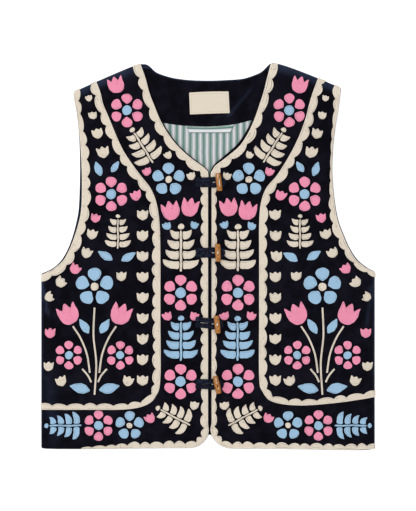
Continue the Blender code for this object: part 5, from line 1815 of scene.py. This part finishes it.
class VEST_OT_lining(Operator):
    """Makes the striped lining, the hanger strip and the label."""

    bl_idname = "vest.lining"
    bl_label = "Lining, hanger strip and label"

    def execute(self, context):
        settings = context.scene.vest_cloth
        cell = settings.cell / MM
        wall = flat_wall(lining_edges(), cell * LINING_CELL, LINING_WALL, FACING_FLOOR, LINING_CREASES)
        lining = add_piece("striped_lining", wall, lining_finish(settings))
        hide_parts("lining")
        wall = flat_wall(hanger_edges(), cell * SMALL_CELL, HANGER_WALL, FACING_FLOOR + LINING_WALL + TOUCH)
        hanger = add_piece("hanger_strip", wall, hanger_finish())
        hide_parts("hanger_loop")
        wall = flat_wall(label_edges(), cell * SMALL_CELL, LABEL_WALL, FACING_FLOOR + FACING_WALL + TOUCH)
        label = add_piece("woven_label", wall, label_finish(settings))
        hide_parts("label")
        return {"FINISHED"}


class VEST_OT_loops(Operator):
    """Makes the four cord loops."""

    bl_idname = "vest.loops"
    bl_label = "Cord loops"

    def execute(self, context):
        settings = context.scene.vest_trim
        finish = cord_finish(settings)
        for number, closure in enumerate(CLOSURES, 1):
            shape = make_loop(closure, settings.wrap_pitch / MM)
            piece = add_piece(f"cord_loop_{number}", shape, finish)
            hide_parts(f"loop_{number}")
        return {"FINISHED"}


class VEST_OT_toggles(Operator):
    """Makes the four toggles and their sewing threads."""

    bl_idname = "vest.toggles"
    bl_label = "Toggles"

    def execute(self, context):
        wood = wood_finish(context.scene.vest_trim)
        thread = thread_finish(context.scene.vest_stitch)
        for number, closure in enumerate(CLOSURES, 1):
            piece = add_piece(f"wooden_toggle_{number}", make_toggle(closure, number), wood)
            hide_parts(f"toggle_{number}")
            strands = [make_thread(closure, *row) for row in TOGGLE_THREADS[number - 1]]
            add_piece(f"toggle_thread_{number}", joined(strands), thread)
        return {"FINISHED"}


class VEST_OT_stage(Operator):
    """Makes the floor, the lights and the camera straight above."""

    bl_idname = "vest.stage"
    bl_label = "Stage"

    def execute(self, context):
        scene, settings = context.scene, context.scene.vest_stage
        mesh = bpy.data.meshes.new("floor")
        reach, below = FLOOR_REACH, -FLOOR_DROP
        mesh.from_pydata([(-reach, -reach, below), (reach, -reach, below), (reach, reach, below),
                          (-reach, reach, below)], [], [(0, 1, 2, 3)])
        mesh.materials.append(stage_finish(settings))
        floor = bpy.data.objects.new("floor", mesh)
        scene.collection.objects.link(floor)

        add_light("overhead light", (-0.5, 0.7, 2.6), 2.2, settings.key_power)
        add_light("low side light", (-1.9, -0.2, 0.9), 1.2, settings.key_power * 0.35)
        world = bpy.data.worlds.new("room")
        world.use_nodes = True
        world.node_tree.nodes["Background"].inputs["Color"].default_value = (1.0, 1.0, 1.0, 1.0)
        world.node_tree.nodes["Background"].inputs["Strength"].default_value = settings.fill_strength
        scene.world = world
        scene.view_settings.view_transform = "Standard"

        lens = bpy.data.cameras.new("camera")
        lens.sensor_width = SENSOR
        lens.lens = SENSOR * settings.view_height / settings.frame_height
        camera = bpy.data.objects.new("camera", lens)
        camera.location = (0.0, VIEW_MIDDLE, FRONT_MIDDLE * MM + settings.view_height)
        scene.collection.objects.link(camera)
        scene.camera = camera
        return {"FINISHED"}


def add_light(name, place, size, power):
    """A large soft square light that faces the garment."""
    light = bpy.data.lights.new(name, "AREA")
    light.shape = "SQUARE"
    light.size = size
    light.energy = power
    lamp = bpy.data.objects.new(name, light)
    lamp.location = place
    lamp.rotation_euler = (-Vector(place)).to_track_quat("-Z", "Y").to_euler()
    bpy.context.scene.collection.objects.link(lamp)


class VEST_PT_panel(Panel):
    """Lists the settings and makes the pieces of the waistcoat."""

    bl_idname = "VEST_PT_panel"
    bl_label = "Embroidered waistcoat"
    bl_space_type = "VIEW_3D"
    bl_region_type = "UI"
    bl_category = "Waistcoat"

    def draw(self, context):
        """A box of settings for each group, then the operators."""
        for group in SETTINGS:
            settings = getattr(context.scene, group)
            box = self.layout.box()
            for key in settings.__annotations__:
                box.prop(settings, key)
        for operator in OPERATORS:
            self.layout.operator(operator.bl_idname)


SETTINGS = {
    "vest_cloth": VestClothSettings,
    "vest_stitch": VestStitchSettings,
    "vest_trim": VestTrimSettings,
    "vest_stage": VestStageSettings,
}
OPERATORS = (
    VEST_OT_velvet, VEST_OT_embroidery, VEST_OT_lining, VEST_OT_loops, VEST_OT_toggles, VEST_OT_stage,
)


def register():
    """Makes the settings, operators and panel known to Blender."""
    for name, group in SETTINGS.items():
        bpy.utils.register_class(group)
        setattr(bpy.types.Scene, name, PointerProperty(type=group))
    for item in (*OPERATORS, VEST_PT_panel):
        bpy.utils.register_class(item)


def unregister():
    """Takes the settings, operators and panel away again."""
    for item in (VEST_PT_panel, *reversed(OPERATORS)):
        bpy.utils.unregister_class(item)
    for name, group in SETTINGS.items():
        delattr(bpy.types.Scene, name)
        bpy.utils.unregister_class(group)


def cut_facts(edges):
    """Width and length, and area, of a flat cut between its four edges, in metres."""
    bottom, top, left, right = edges
    outline = np.concatenate((bottom, right[1:], top[-2::-1], left[-2:0:-1]))
    after = np.roll(outline, -1, axis=0)
    area = abs(np.sum(outline[:, 0] * after[:, 1] - after[:, 0] * outline[:, 1])) / 2
    width, length = np.ptp(outline, axis=0) * MM
    return (float(width), float(length)), float(area) * MM * MM


def declare_sheets():
    """Works out each piece of cloth's size and area from its edges, and lists what it lies on and what is
    stitched on it.
    """
    sheets = [
        ("velvet_back", back_edges(), (), ()),
        ("velvet_neck_facing", facing_edges(), ("velvet_back",), ()),
        ("striped_lining", lining_edges(), ("velvet_back",), ()),
        ("woven_label", label_edges(), ("velvet_neck_facing",), ()),
        ("hanger_strip", hanger_edges(), ("striped_lining",), ()),
    ]
    for side in (LEFT, RIGHT):
        stitched = [f"{colour}_embroidery_{side}" for colour in THREADS]
        sheets.append((f"velvet_front_{side}", front_edges(side), ("velvet_back",), stitched))
    for name, edges, under, stitched in sheets:
        size, area = cut_facts(edges)
        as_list(under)
        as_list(stitched)


def main():
    """Registers the settings, operators and panel, makes every piece and the stage, and works out each
    cloth's cut.
    """
    register()
    bpy.ops.vest.velvet()
    bpy.ops.vest.embroidery()
    bpy.ops.vest.lining()
    bpy.ops.vest.loops()
    bpy.ops.vest.toggles()
    bpy.ops.vest.stage()
    declare_sheets()


if __name__ == "__main__":
    main()
